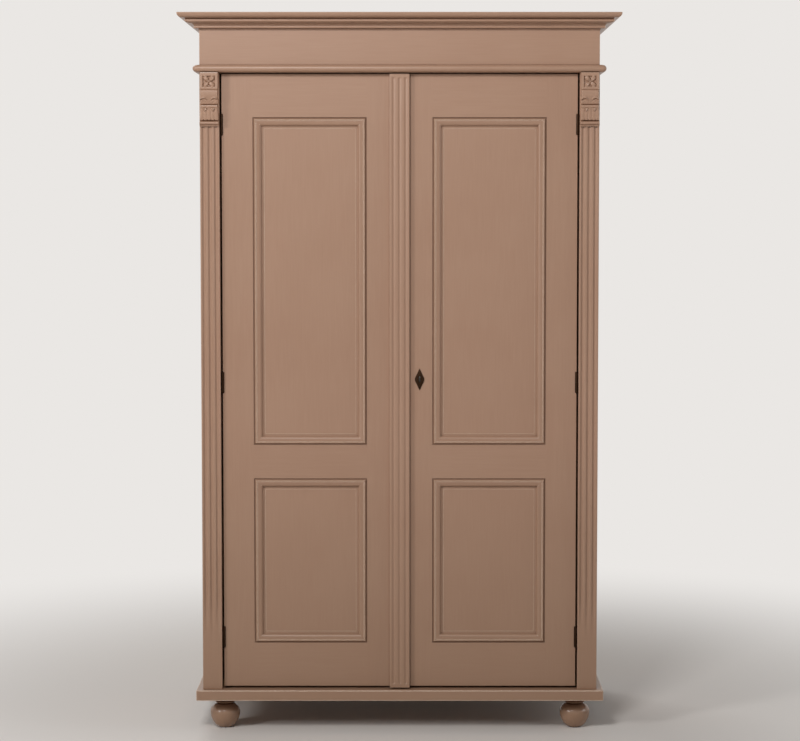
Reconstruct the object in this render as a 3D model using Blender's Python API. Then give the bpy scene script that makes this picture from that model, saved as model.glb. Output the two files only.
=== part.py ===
"""A painted two-door wardrobe on bun feet, with a cornice, fluted posts, carved corbels and panelled doors.

Metres, +Z up. The origin is on the floor, in the middle of the wardrobe's plan. The doors face -Y. Every
piece is its own closed solid. Pieces that touch keep a gap of FIT between their faces.
"""

import math

import bmesh
import bpy
from mathutils import Matrix, Vector

# Room between pieces that touch, overrun of every cut, and facets of round shapes
FIT = 0.0003
OVERRUN = 0.002
ROUND_STEPS = 20
SMALL_ROUND_STEPS = 16
ARC_STEPS = 4
SMOOTH_DEGREES = 35
MERGE_DISTANCE = FIT / 10

# Carcass
BODY_WIDTH = 1.048
BODY_DEPTH = 0.550
BODY_HEIGHT = 1.633
SIDE_THICKNESS = 0.020
BACK_THICKNESS = 0.008
FLOOR_THICKNESS = 0.018

# Base board and bun feet
BASE_THICKNESS = 0.028
BASE_PROJECTION = 0.017
BASE_TOP_ROUNDING = 0.005
BASE_BOTTOM_ROUNDING = 0.003
FOOT_HEIGHT = 0.086
FOOT_DIAMETER = 0.080
FOOT_BUN_HEIGHT = 0.060
FOOT_PAD_DIAMETER = 0.044
FOOT_NECK_DIAMETER = 0.048
FOOT_COLLAR_DIAMETER = 0.058
FOOT_COLLAR_HEIGHT = 0.010
FOOT_INSET = 0.054
FOOT_SETBACK = 0.060

# Top board with its half-round edge
TOP_THICKNESS = 0.020
TOP_PROJECTION = 0.017

# Crown: frieze boards, cornice moulding and dust board
FRIEZE_HEIGHT = 0.090
FRIEZE_THICKNESS = 0.018
CORNICE_HEIGHT = 0.043
CORNICE_PROJECTION = 0.0535
DUST_BOARD_THICKNESS = 0.008

# Fluted posts and centre strip
POST_WIDTH = 0.0515
STRIP_WIDTH = 0.053
STRIP_THICKNESS = 0.012
STRIP_DROP = 0.0025
FLUTE_COUNT = 3
FLUTE_PITCH = 0.016
FLUTE_WIDTH = 0.0105
FLUTE_DEPTH = 0.0035
FLUTE_STOP = 0.009
EDGE_ROUNDING = 0.002

# Corbels
CORBEL_HEIGHT = 0.143
CORBEL_PROJECTION = 0.018
CORBEL_PLATE_THICKNESS = 0.004

# Doors: two leaves of frame and panel, set back between the posts
DOOR_INSET = 0.012
DOOR_THICKNESS = 0.022
DOOR_SIDE_GAP = 0.0045
DOOR_TOP_GAP = 0.003
DOOR_BOTTOM_GAP = 0.0065
MEETING_GAP = 0.002
STOP_GAP = 0.001
HINGE_STILE_WIDTH = 0.0815
MEETING_STILE_SHOWING = 0.060
TOP_RAIL_WIDTH = 0.113
LOCK_RAIL_WIDTH = 0.089
BOTTOM_RAIL_WIDTH = 0.116
LOWER_PANEL_HEIGHT = 0.4405
GROOVE_WIDTH = 0.010
GROOVE_DEPTH = 0.009
GROOVE_FRONT_WALL = 0.008
PANEL_PLAY = 0.001
MOULDING_WIDTH = 0.0265
MOULDING_RISE = 0.0015

# Lift-off hinges, three to a leaf
HINGE_HEIGHT = 0.055
HINGE_END_INSET = 0.132
KNUCKLE_DIAMETER = 0.0075
KNUCKLE_GAP = 0.0005
KNUCKLE_CHAMFER = 0.0008
KNUCKLE_CLEARANCE = 0.0004
AXIS_BEFORE_DOOR = 0.002
PIN_DIAMETER = 0.004
PIN_LENGTH = 0.020
BORE_DIAMETER = 0.0048
BORE_DEPTH = 0.022
FLAP_THICKNESS = 0.0015

# Rim lock on the right leaf
LOCK_CENTRE_HEIGHT = 0.9405
LOCK_BACKSET = 0.024
LOCK_WIDTH = 0.048
LOCK_HEIGHT = 0.070
LOCK_DEPTH = 0.012
LOCK_EDGE_GAP = 0.0005
LOCK_WALL = 0.0015
BOLT_LENGTH = 0.030
BOLT_HEIGHT = 0.018
BOLT_THICKNESS = 0.005
BOLT_RISE = 0.019
BOLT_CLEARANCE = 0.0005
BOLT_SETBACK = 0.001
BOLT_BEHIND_LEAF = 0.0015
KEYHOLE_EYE_DIAMETER = 0.0064
KEYHOLE_SLOT_WIDTH = 0.0048
KEYHOLE_HEIGHT = 0.017
ESCUTCHEON_WIDTH = 0.0245
ESCUTCHEON_HEIGHT = 0.058
ESCUTCHEON_THICKNESS = 0.002
ESCUTCHEON_FLAT = 0.006

# Hat shelf, the cleats that carry it, and the clothes rail
SHELF_BELOW_TOP = 0.262
SHELF_THICKNESS = 0.018
SHELF_FRONT_SETBACK = 0.060
CLEAT_THICKNESS = 0.018
CLEAT_HEIGHT = 0.075
RAIL_DIAMETER = 0.028
RAIL_CLEARANCE = 0.0004
RAIL_BELOW_SHELF = 0.036

# Corbel levels from the foot up: share of height, of projection, and of half its width at the front
CORBEL_LEVEL_SHARES = (
    (0.000, 0.42, 0.97), (0.020, 0.42, 0.97), (0.030, 0.74, 0.98), (0.050, 0.80, 0.98), (0.072, 0.74, 0.98),
    (0.085, 0.46, 0.90), (0.110, 0.84, 0.91), (0.160, 0.86, 0.90), (0.240, 0.68, 0.83), (0.345, 0.50, 0.79),
    (0.350, 0.58, 0.82), (0.398, 0.58, 0.82), (0.404, 0.40, 0.78), (0.430, 0.86, 0.88), (0.480, 0.98, 0.89),
    (0.560, 1.00, 0.80), (0.640, 0.92, 0.78), (0.690, 0.74, 0.77), (0.700, 0.88, 0.80), (0.725, 0.88, 0.80),
    (0.735, 0.72, 0.78), (0.985, 0.78, 0.80), (1.000, 0.78, 0.80),
)

# Cornice section in shares of its projection and height; an arc is its middle and its radii
CORNICE_FACE_SHARES = ((1.00, 1.00), (1.00, 0.80), (0.90, 0.745))
CORNICE_OVOLO_SHARES = ((0.66, 0.72), (0.20, 0.20))
CORNICE_STEP_SHARES = (0.64, 0.45)
CORNICE_COVE_SHARES = ((0.60, 0.22), (0.27, 0.23))
CORNICE_FILLET_SHARES = (0.32, 0.17)
CORNICE_BEAD_SHARES = ((0.12, 0.10), (0.10, 0.08))

# Panel moulding section in shares of its width and of the depth from the frame's face to the panel
MOULDING_QUIRK_SHARES = ((0.11, -0.45), (0.66, -0.60), (1.00, -0.86))
MAIN_BEAD_MIDDLE_SHARES = (0.38, -0.30)
MAIN_BEAD_RADIUS_SHARE = 0.25
SMALL_BEAD_SHARES = ((0.82, -0.72), (0.10, 0.22))

# Places worked out from the sizes above
HALF_BODY = BODY_WIDTH / 2
HALF_INSIDE = HALF_BODY - SIDE_THICKNESS
FRONT_Y = (CORNICE_PROJECTION - BODY_DEPTH) / 2
BACK_Y = FRONT_Y + BODY_DEPTH
BACK_PANEL_Y = BACK_Y - BACK_THICKNESS
BASE_Z = FOOT_HEIGHT
BODY_Z = BASE_Z + BASE_THICKNESS
FLOOR_TOP_Z = BODY_Z + FLOOR_THICKNESS
TOP_Z = BODY_Z + BODY_HEIGHT
FRIEZE_Z = TOP_Z + TOP_THICKNESS
CORNICE_Z = FRIEZE_Z + FRIEZE_HEIGHT
CROWN_Z = CORNICE_Z + CORNICE_HEIGHT
DOOR_FRONT_Y = FRONT_Y + DOOR_INSET
DOOR_BACK_Y = DOOR_FRONT_Y + DOOR_THICKNESS
POST_INNER_X = HALF_BODY - POST_WIDTH
LEAF_OUTER_X = POST_INNER_X - DOOR_SIDE_GAP
LEAF_BOTTOM_Z = BODY_Z + DOOR_BOTTOM_GAP
LEAF_TOP_Z = TOP_Z - DOOR_TOP_GAP
OPENING_OUTER_X = LEAF_OUTER_X - HINGE_STILE_WIDTH
OPENING_INNER_X = STRIP_WIDTH / 2 + MEETING_STILE_SHOWING
LOWER_OPENING_Z = LEAF_BOTTOM_Z + BOTTOM_RAIL_WIDTH
LOWER_OPENING_TOP_Z = LOWER_OPENING_Z + LOWER_PANEL_HEIGHT
UPPER_OPENING_Z = LOWER_OPENING_TOP_Z + LOCK_RAIL_WIDTH
UPPER_OPENING_TOP_Z = LEAF_TOP_Z - TOP_RAIL_WIDTH
GROOVE_FRONT_Y = DOOR_FRONT_Y + GROOVE_FRONT_WALL
GROOVE_BACK_Y = GROOVE_FRONT_Y + GROOVE_WIDTH
HINGE_AXIS_Y = DOOR_FRONT_Y - AXIS_BEFORE_DOOR
RIGHT_LEAF_EDGE_X = STRIP_WIDTH / 2 + MEETING_GAP
LOCK_X = RIGHT_LEAF_EDGE_X + LOCK_EDGE_GAP
BOLT_FRONT_Y = DOOR_BACK_Y + BOLT_BEHIND_LEAF
SHELF_Z = TOP_Z - SHELF_BELOW_TOP
SHELF_FRONT_Y = FRONT_Y + SHELF_FRONT_SETBACK
RAIL_Y = (SHELF_FRONT_Y + BACK_PANEL_Y) / 2
RAIL_Z = SHELF_Z - RAIL_BELOW_SHELF
LEFT, RIGHT = -1, 1


def clear_scene():
    """Remove the objects of the startup scene."""
    for old in list(bpy.data.objects):
        bpy.data.objects.remove(old, do_unlink=True)


def make_finish(name, colour, roughness, metallic=0.0):
    """A Principled BSDF of one colour, given as linear red, green and blue."""
    finish = bpy.data.materials.new(name)
    finish.use_nodes = True
    shader = finish.node_tree.nodes["Principled BSDF"]
    shader.inputs["Base Color"].default_value = (*colour, 1.0)
    shader.inputs["Roughness"].default_value = roughness
    shader.inputs["Metallic"].default_value = metallic
    finish.diffuse_color = (*colour, 1.0)
    return finish


def make_carrier(name, place):
    """An empty that carries pieces which move together; it stands on their joint's axis."""
    carrier = bpy.data.objects.new(name, None)
    carrier.location = place
    bpy.context.scene.collection.objects.link(carrier)
    return carrier


def add_piece(name, shape, finish, place, carrier, smooth_degrees=None):
    """Turn a bmesh, built round its own origin, into an object at a world place under its carrier."""
    bmesh.ops.recalc_face_normals(shape, faces=shape.faces[:])
    mesh = bpy.data.meshes.new(name)
    shape.to_mesh(mesh)
    shape.free()
    mesh.materials.append(finish)
    if smooth_degrees is not None:
        mesh.shade_smooth()
        mesh.set_sharp_from_angle(angle=math.radians(smooth_degrees))
    piece = bpy.data.objects.new(name, mesh)
    piece.location = Vector(place) - carrier.location
    piece.parent = carrier
    bpy.context.scene.collection.objects.link(piece)
    return piece


def combine(piece, helper, operation):
    """Cut a helper from a piece, or join it on, with a live Boolean. The helper stays out of the model."""
    helper.hide_render = True
    helper.display_type = "WIRE"
    change = piece.modifiers.new(operation.title(), "BOOLEAN")
    change.operation = operation
    change.solver = "EXACT"
    change.object = helper


def block(size):
    """A bmesh box of a given size about its own middle."""
    shape = bmesh.new()
    bmesh.ops.create_cube(shape, size=1, matrix=Matrix.Diagonal((*size, 1)))
    return shape


def share_of(size, shares):
    """A pair of lengths from a pair of sizes and the share wanted of each."""
    return size[0] * shares[0], size[1] * shares[1]


def span(low, high):
    """Length and middle of an interval whose ends may come in either order."""
    return abs(high - low), (low + high) / 2


def add_board(name, x, y, z, finish, carrier):
    """A plain board between two x, two y and two z places."""
    (width, x_middle), (depth, y_middle), (height, z_middle) = span(*x), span(*y), span(*z)
    return add_piece(name, block((width, depth, height)), finish, (x_middle, y_middle, z_middle), carrier)


def grow(outlines):
    """A closed bmesh grown through outlines of equal point count, by extruding one cap through them."""
    shape = bmesh.new()
    first = [shape.verts.new(point) for point in outlines[0]]
    cap = shape.faces.new(first)
    for outline in outlines[1:]:
        cap = bmesh.ops.extrude_discrete_faces(shape, faces=[cap])["faces"][0]
        for corner, point in zip(cap.verts, outline):
            corner.co = point
    shape.faces.new(reversed(first))
    return shape


def closed_ring(outlines):
    """A bmesh grown through outlines and back to the first, without the two caps where its ends meet."""
    shape = grow([*outlines, outlines[0]])
    caps = [face for face in shape.faces if len(face.verts) == len(outlines[0])]
    bmesh.ops.delete(shape, geom=caps, context="FACES_ONLY")
    bmesh.ops.remove_doubles(shape, verts=shape.verts[:], dist=MERGE_DISTANCE)
    return shape


def turned(profile, steps):
    """A bmesh turned round Z from a profile of radius and height pairs that starts and ends on the axis."""
    shape = bmesh.new()
    points = [shape.verts.new((radius, 0, height)) for radius, height in profile]
    edges = [shape.edges.new(pair) for pair in zip(points, points[1:])]
    bmesh.ops.spin(shape, geom=[*points, *edges], cent=(0, 0, 0), axis=(0, 0, 1), angle=math.tau,
                   steps=steps, use_merge=True)
    bmesh.ops.remove_doubles(shape, verts=shape.verts[:], dist=MERGE_DISTANCE)
    return shape


def arc(middle, radii, start_degrees, end_degrees, steps=ARC_STEPS):
    """Points of an elliptic arc, its two ends included."""
    points = []
    for number in range(steps + 1):
        angle = math.radians(start_degrees + (end_degrees - start_degrees) * number / steps)
        points.append((middle[0] + radii[0] * math.cos(angle), middle[1] + radii[1] * math.sin(angle)))
    return points


def three_sided_board(name, levels, z, finish, carrier):
    """A board that stands out at the front and both sides; levels pair a projection with a height over z."""
    outlines = []
    for projection, height in levels:
        half, front = HALF_BODY + projection, FRONT_Y - projection
        outlines.append([(-half, front, height), (half, front, height), (half, BACK_Y, height),
                         (-half, BACK_Y, height)])
    return add_piece(name, grow(outlines), finish, (0, 0, z), carrier)


def add_base_board(finish, carrier):
    """The board under the carcass, with both its edges eased."""
    foot = arc((BASE_PROJECTION - BASE_BOTTOM_ROUNDING, BASE_BOTTOM_ROUNDING),
               (BASE_BOTTOM_ROUNDING, BASE_BOTTOM_ROUNDING), -90, 0, 2)
    head = arc((BASE_PROJECTION - BASE_TOP_ROUNDING, BASE_THICKNESS - FIT - BASE_TOP_ROUNDING),
               (BASE_TOP_ROUNDING, BASE_TOP_ROUNDING), 0, 90)
    return three_sided_board("base_board", [*foot, *head], BASE_Z, finish, carrier)


def add_top_board(finish, carrier):
    """The carcass top, whose edge is a full half-round."""
    radius = (TOP_THICKNESS - FIT) / 2
    edge = arc((TOP_PROJECTION - radius, radius), (radius, radius), -90, 90, 2 * ARC_STEPS)
    return three_sided_board("carcass_top", edge, TOP_Z, finish, carrier)


def add_bun_foot(name, x, y, finish, carrier):
    """A turned bun with a flat pad below and a collar above its neck."""
    radius, half_bun = FOOT_DIAMETER / 2, FOOT_BUN_HEIGHT / 2
    pad_angle = math.degrees(math.acos(FOOT_PAD_DIAMETER / FOOT_DIAMETER))
    neck_angle = math.degrees(math.acos(FOOT_NECK_DIAMETER / FOOT_DIAMETER))
    reach = half_bun / math.sin(math.radians(pad_angle))
    bun = arc((0, half_bun), (radius, reach), -pad_angle, neck_angle, 2 * ARC_STEPS)
    neck_z = bun[-1][1]
    collar, neck = FOOT_COLLAR_DIAMETER / 2, FOOT_NECK_DIAMETER / 2
    collar_z, top_z = neck_z + FOOT_COLLAR_HEIGHT / 2, FOOT_HEIGHT - FIT
    ring = arc((neck, collar_z), (collar - neck, FOOT_COLLAR_HEIGHT / 2), -90, 90)
    profile = [(0, 0), (bun[0][0], 0), *bun[1:], *ring[1:], (neck, top_z), (0, top_z)]
    return add_piece(name, turned(profile, ROUND_STEPS), finish, (x, y, 0), carrier, SMOOTH_DEGREES)


def cornice_section():
    """Outline of the cornice: projection from the frieze and height over the cornice's foot."""
    size = (CORNICE_PROJECTION, CORNICE_HEIGHT)
    face = [share_of(size, point) for point in CORNICE_FACE_SHARES]
    ovolo = arc(*[share_of(size, pair) for pair in CORNICE_OVOLO_SHARES], 0, -90)
    cove = arc(*[share_of(size, pair) for pair in CORNICE_COVE_SHARES], 90, 180)
    foot_bead = arc(*[share_of(size, pair) for pair in CORNICE_BEAD_SHARES], 60, -90)
    return [(FIT, CORNICE_HEIGHT), *face, *ovolo, share_of(size, CORNICE_STEP_SHARES), *cove,
            share_of(size, CORNICE_FILLET_SHARES), *foot_bead, (FIT, 0)]


def add_cornice_front(finish, carrier):
    """The front length of cornice, mitred at both ends."""
    outlines = []
    for side in (LEFT, RIGHT):
        outlines.append([(side * (HALF_BODY + out), FRONT_Y - out, up) for out, up in cornice_section()])
    return add_piece("cornice_front", grow(outlines), finish, (0, 0, CORNICE_Z), carrier)


def add_cornice_side(name, side, finish, carrier):
    """A side length of cornice, mitred at the front and square at the back."""
    mitre_gap = FIT * math.sqrt(2)
    section = cornice_section()
    front = [(side * (HALF_BODY + out), FRONT_Y - out + mitre_gap, up) for out, up in section]
    back = [(side * (HALF_BODY + out), BACK_Y, up) for out, up in section]
    return add_piece(name, grow([front, back]), finish, (0, 0, CORNICE_Z), carrier)


def add_crown(finish, plain, carrier):
    """Frieze boards on all four sides, the cornice on three, and the dust board that closes the top."""
    inner_y = FRONT_Y + FRIEZE_THICKNESS
    top = CROWN_Z - DUST_BOARD_THICKNESS - FIT
    frieze_z = (FRIEZE_Z, top)
    inner_x = HALF_BODY - FRIEZE_THICKNESS
    add_board("frieze_front", (-HALF_BODY, HALF_BODY), (FRONT_Y, inner_y), frieze_z, finish, carrier)
    add_board("frieze_back", (-inner_x + FIT, inner_x - FIT), (BACK_Y - FRIEZE_THICKNESS, BACK_Y), frieze_z,
              plain, carrier)
    for side, name in ((LEFT, "left"), (RIGHT, "right")):
        add_board("frieze_" + name, (side * inner_x, side * HALF_BODY), (inner_y + FIT, BACK_Y), frieze_z,
                  finish, carrier)
        add_cornice_side("cornice_" + name, side, finish, carrier)
    add_cornice_front(finish, carrier)
    add_board("dust_board", (-HALF_BODY, HALF_BODY), (FRONT_Y, BACK_Y),
              (CROWN_Z - DUST_BOARD_THICKNESS, CROWN_Z), plain, carrier)


def flute_cutter(length):
    """Three upright round-ended flutes side by side, in the plane y = 0 and cutting towards +y."""
    radius = ((FLUTE_WIDTH / 2) ** 2 + FLUTE_DEPTH ** 2) / (2 * FLUTE_DEPTH)
    reach = length / 2
    profile = [(0, -reach), *arc((0, radius - reach), (radius, radius), -60, 0, 3),
               *arc((0, reach - radius), (radius, radius), 0, 60, 3), (0, reach)]
    shape = bmesh.new()
    for number in range(FLUTE_COUNT):
        flute = turned(profile, SMALL_ROUND_STEPS)
        offset = (number - (FLUTE_COUNT - 1) / 2) * FLUTE_PITCH
        flute.transform(Matrix.Translation((offset, FLUTE_DEPTH - radius, 0)))
        one = bpy.data.meshes.new("flute")
        bmesh.ops.recalc_face_normals(flute, faces=flute.faces[:])
        flute.to_mesh(one)
        flute.free()
        shape.from_mesh(one)
        bpy.data.meshes.remove(one)
    return shape


def eased_board(width, depth, height):
    """An upright board whose two front edges are eased."""
    half = width / 2
    corner = (EDGE_ROUNDING, EDGE_ROUNDING)
    outline = [(-half, depth), *arc((EDGE_ROUNDING - half, EDGE_ROUNDING), corner, 180, 270, 2),
               *arc((half - EDGE_ROUNDING, EDGE_ROUNDING), corner, 270, 360, 2), (half, depth)]
    return grow([[(x, y, 0) for x, y in outline], [(x, y, height) for x, y in outline]])


def add_fluted_board(name, x, front_y, z, size, flutes_z, finish, carrier):
    """An upright board with stopped flutes in its face; flutes_z is where they start and end."""
    width, depth, height = size
    piece = add_piece(name, eased_board(width, depth, height), finish, (x, front_y, z), carrier)
    length, middle = span(*flutes_z)
    cutter = add_piece(name + ".flutes", flute_cutter(length), finish, (x, front_y, middle), carrier)
    combine(piece, cutter, "DIFFERENCE")
    return piece


def add_corbel(name, side, finish, carrier):
    """A carved console: plate, astragal, bell, scroll and rosette block as its main masses."""
    half = POST_WIDTH / 2
    plate, foot_z = CORBEL_PLATE_THICKNESS, TOP_Z - CORBEL_HEIGHT
    outlines = []
    for height_share, projection_share, width_share in CORBEL_LEVEL_SHARES:
        z = height_share * (CORBEL_HEIGHT - FIT)
        out, narrow = projection_share * CORBEL_PROJECTION, width_share * half
        right = [(half, 0, z), (half, -plate, z), (narrow, -plate, z), (narrow, -out, z)]
        outlines.append([*right, *[(-x, y, z) for x, y, z in reversed(right)]])
    place = (side * (HALF_BODY - half), FRONT_Y - FIT, foot_z)
    return add_piece(name, grow(outlines), finish, place, carrier)


def add_posts_and_corbels(finish, carrier):
    """The two fluted front posts, each with a corbel on its head."""
    size = (POST_WIDTH, DOOR_INSET + DOOR_THICKNESS, BODY_HEIGHT - FIT)
    flutes_z = (BODY_Z + FLUTE_STOP, TOP_Z - CORBEL_HEIGHT - FLUTE_STOP / 2)
    for side, name in ((LEFT, "left"), (RIGHT, "right")):
        x = side * (HALF_BODY - POST_WIDTH / 2)
        add_fluted_board(name + "_post", x, FRONT_Y, BODY_Z, size, flutes_z, finish, carrier)
        add_corbel(name + "_corbel", side, finish, carrier)


def rail_cleat_outline():
    """Side view of a cleat: a board with a round-bottomed notch that the clothes rail drops into."""
    notch = RAIL_DIAMETER / 2 + RAIL_CLEARANCE
    front, back = SHELF_FRONT_Y - RAIL_Y, BACK_PANEL_Y - FIT - RAIL_Y
    top, bottom = SHELF_Z - FIT - RAIL_Z, SHELF_Z - CLEAT_HEIGHT - RAIL_Z
    cradle = arc((0, 0), (notch, notch), 180, 360, 2 * ARC_STEPS)
    return [(front, bottom), (front, top), (-notch, top), *cradle, (notch, top), (back, top), (back, bottom)]


def add_interior(plain, carrier):
    """Hat shelf on two notched cleats, and the clothes rail that lies in the notches."""
    add_board("hat_shelf", (-HALF_INSIDE + FIT, HALF_INSIDE - FIT), (SHELF_FRONT_Y, BACK_PANEL_Y - FIT),
              (SHELF_Z, SHELF_Z + SHELF_THICKNESS), plain, carrier)
    outline = rail_cleat_outline()
    for side, name in ((LEFT, "left"), (RIGHT, "right")):
        outer, inner = side * (HALF_INSIDE - FIT), side * (HALF_INSIDE - CLEAT_THICKNESS)
        cleat = grow([[(outer, y, z) for y, z in outline], [(inner, y, z) for y, z in outline]])
        add_piece(name + "_rail_cleat", cleat, plain, (0, RAIL_Y, RAIL_Z), carrier)
    half, radius = HALF_INSIDE - FIT, RAIL_DIAMETER / 2
    rail = turned([(0, -half), (radius, -half), (radius, half), (0, half)], ROUND_STEPS)
    rail.transform(Matrix.Rotation(math.radians(90), 4, "Y"))
    add_piece("clothes_rail", rail, plain, (0, RAIL_Y, RAIL_Z), carrier, SMOOTH_DEGREES)


def add_carcass(finish, plain, carrier):
    """Base and top board, sides, back, floor and feet."""
    add_base_board(finish, carrier)
    add_top_board(finish, carrier)
    upright = (BODY_Z, TOP_Z - FIT)
    for side, name in ((LEFT, "left"), (RIGHT, "right")):
        add_board(name + "_side", (side * HALF_INSIDE, side * HALF_BODY), (DOOR_BACK_Y + FIT, BACK_Y),
                  upright, finish, carrier)
        foot_x = side * (HALF_BODY - FOOT_INSET)
        for end, y in (("front", FRONT_Y + FOOT_SETBACK), ("back", BACK_Y - FOOT_SETBACK)):
            add_bun_foot(f"{end}_{name}_foot", foot_x, y, finish, carrier)
    inside = (-HALF_INSIDE + FIT, HALF_INSIDE - FIT)
    add_board("back_panel", inside, (BACK_PANEL_Y, BACK_Y), upright, plain, carrier)
    add_board("floor_board", inside, (DOOR_BACK_Y + STOP_GAP, BACK_PANEL_Y - FIT), (BODY_Z, FLOOR_TOP_Z),
              plain, carrier)


def groove_outline(x_edge, x_groove):
    """Plan of a stile with a groove in its panel edge, between its plain edge and its grooved one."""
    toward = 1 if x_groove > x_edge else -1
    bottom = x_groove - toward * GROOVE_DEPTH
    groove = [(x_groove, GROOVE_FRONT_Y), (bottom, GROOVE_FRONT_Y), (bottom, GROOVE_BACK_Y),
              (x_groove, GROOVE_BACK_Y)]
    return [(x_edge, DOOR_FRONT_Y), (x_groove, DOOR_FRONT_Y), *groove, (x_groove, DOOR_BACK_Y),
            (x_edge, DOOR_BACK_Y)]


def add_stile(name, x_edge, x_groove, finish, pivot):
    """An upright member of a leaf, grooved along the edge that faces the panels."""
    outline = groove_outline(x_edge, x_groove)
    centre = Vector((x_edge, DOOR_FRONT_Y, LEAF_BOTTOM_Z))
    height = LEAF_TOP_Z - LEAF_BOTTOM_Z
    rings = [[(x - centre.x, y - centre.y, z) for x, y in outline] for z in (0, height)]
    return add_piece(name, grow(rings), finish, centre, pivot)


def add_rail(name, x, z, grooves, finish, pivot):
    """A cross member between the stiles: a tongue at each end, a groove in each edge that meets a panel."""
    low, high = min(x) + FIT, max(x) - FIT
    piece = add_board(name, (low, high), (DOOR_FRONT_Y, DOOR_BACK_Y), z, finish, pivot)
    reach = GROOVE_DEPTH - FIT
    tongue_z = (min(z) + GROOVE_DEPTH * grooves[0], max(z) - GROOVE_DEPTH * grooves[1])
    tongue_y = (GROOVE_FRONT_Y + FIT, GROOVE_BACK_Y - FIT)
    tongue = add_board(name + ".tongue", (low - reach, high + reach), tongue_y, tongue_z, finish, pivot)
    combine(piece, tongue, "UNION")
    for wanted, edge, away in ((grooves[0], min(z), -1), (grooves[1], max(z), 1)):
        if wanted:
            groove = add_board(f"{name}.groove_{'top' if away > 0 else 'bottom'}",
                               (low - GROOVE_DEPTH, high + GROOVE_DEPTH), (GROOVE_FRONT_Y, GROOVE_BACK_Y),
                               (edge - away * GROOVE_DEPTH, edge + away * OVERRUN), finish, pivot)
            combine(piece, groove, "DIFFERENCE")
    return piece


def moulding_section():
    """Outline of the panel moulding: distance in from the frame, and height over the frame's face."""
    size = (MOULDING_WIDTH, GROOVE_FRONT_WALL)
    outer_quirk, inner_quirk, edge = [share_of(size, point) for point in MOULDING_QUIRK_SHARES]
    middle = share_of(size, MAIN_BEAD_MIDDLE_SHARES)
    radii = (MAIN_BEAD_RADIUS_SHARE * MOULDING_WIDTH, MOULDING_RISE - middle[1])
    main_bead = arc(middle, radii, 180, 0, 2 * ARC_STEPS)
    small_bead = arc(*[share_of(size, pair) for pair in SMALL_BEAD_SHARES], 180, 0)
    return [(FIT, -GROOVE_FRONT_WALL), (FIT, outer_quirk[1]), outer_quirk, *main_bead, inner_quirk,
            *small_bead, edge, (MOULDING_WIDTH, -GROOVE_FRONT_WALL)]


def add_panel(name, x, z, finish, pivot):
    """A flat panel in the leaf's grooves, and the mitred moulding that frames it."""
    bite = GROOVE_DEPTH - PANEL_PLAY
    add_board(name + "_panel", (min(x) - bite, max(x) + bite), (GROOVE_FRONT_Y + FIT, GROOVE_BACK_Y - FIT),
              (min(z) - bite, max(z) + bite), finish, pivot)
    (width, x_middle), (height, z_middle) = span(*x), span(*z)
    outlines = []
    for x_side, z_side in ((-1, -1), (1, -1), (1, 1), (-1, 1)):
        outlines.append([(x_side * (width / 2 - inward), -rise, z_side * (height / 2 - inward))
                         for inward, rise in moulding_section()])
    add_piece(name + "_moulding", closed_ring(outlines), finish, (x_middle, DOOR_FRONT_Y, z_middle), pivot)


def add_leaf(side, name, edge_x, finish, pivot):
    """Frame, panels and mouldings of one leaf; edge_x is its meeting edge. Returns its two stiles."""
    outer, inner = side * OPENING_OUTER_X, side * OPENING_INNER_X
    hinge_stile = add_stile(name + "_hinge_stile", side * LEAF_OUTER_X, outer, finish, pivot)
    meeting_stile = add_stile(name + "_meeting_stile", edge_x, inner, finish, pivot)
    across = (outer, inner)
    rails = (
        ("_bottom_rail", (LEAF_BOTTOM_Z, LOWER_OPENING_Z), (False, True)),
        ("_lock_rail", (LOWER_OPENING_TOP_Z, UPPER_OPENING_Z), (True, True)),
        ("_top_rail", (UPPER_OPENING_TOP_Z, LEAF_TOP_Z), (True, False)),
    )
    for rail, z, grooves in rails:
        add_rail(name + rail, across, z, grooves, finish, pivot)
    add_panel(name + "_lower", across, (LOWER_OPENING_Z, LOWER_OPENING_TOP_Z), finish, pivot)
    add_panel(name + "_upper", across, (UPPER_OPENING_Z, UPPER_OPENING_TOP_Z), finish, pivot)
    return hinge_stile, meeting_stile


def hinge_heights():
    """Middle heights of a leaf's three hinges, from the bottom one up."""
    low, high = LEAF_BOTTOM_Z + HINGE_END_INSET, LEAF_TOP_Z - HINGE_END_INSET
    return low, (low + high) / 2, high


def frame_half_profile():
    """Turned profile of a lower knuckle with the pin that stands in it."""
    radius, pin, half = KNUCKLE_DIAMETER / 2, PIN_DIAMETER / 2, HINGE_HEIGHT / 2
    seat, tip = -KNUCKLE_GAP / 2, PIN_LENGTH
    return [(0, -half), (radius - KNUCKLE_CHAMFER, -half), (radius, KNUCKLE_CHAMFER - half), (radius, seat),
            (pin, seat), (pin, tip), (0, tip)]


def leaf_half_profile():
    """Turned profile of an upper knuckle with its blind bore."""
    radius, bore, half = KNUCKLE_DIAMETER / 2, BORE_DIAMETER / 2, HINGE_HEIGHT / 2
    seat = KNUCKLE_GAP / 2
    return [(0, BORE_DEPTH), (bore, BORE_DEPTH), (bore, seat), (radius, seat),
            (radius, half - KNUCKLE_CHAMFER), (radius - KNUCKLE_CHAMFER, half), (0, half)]


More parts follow.
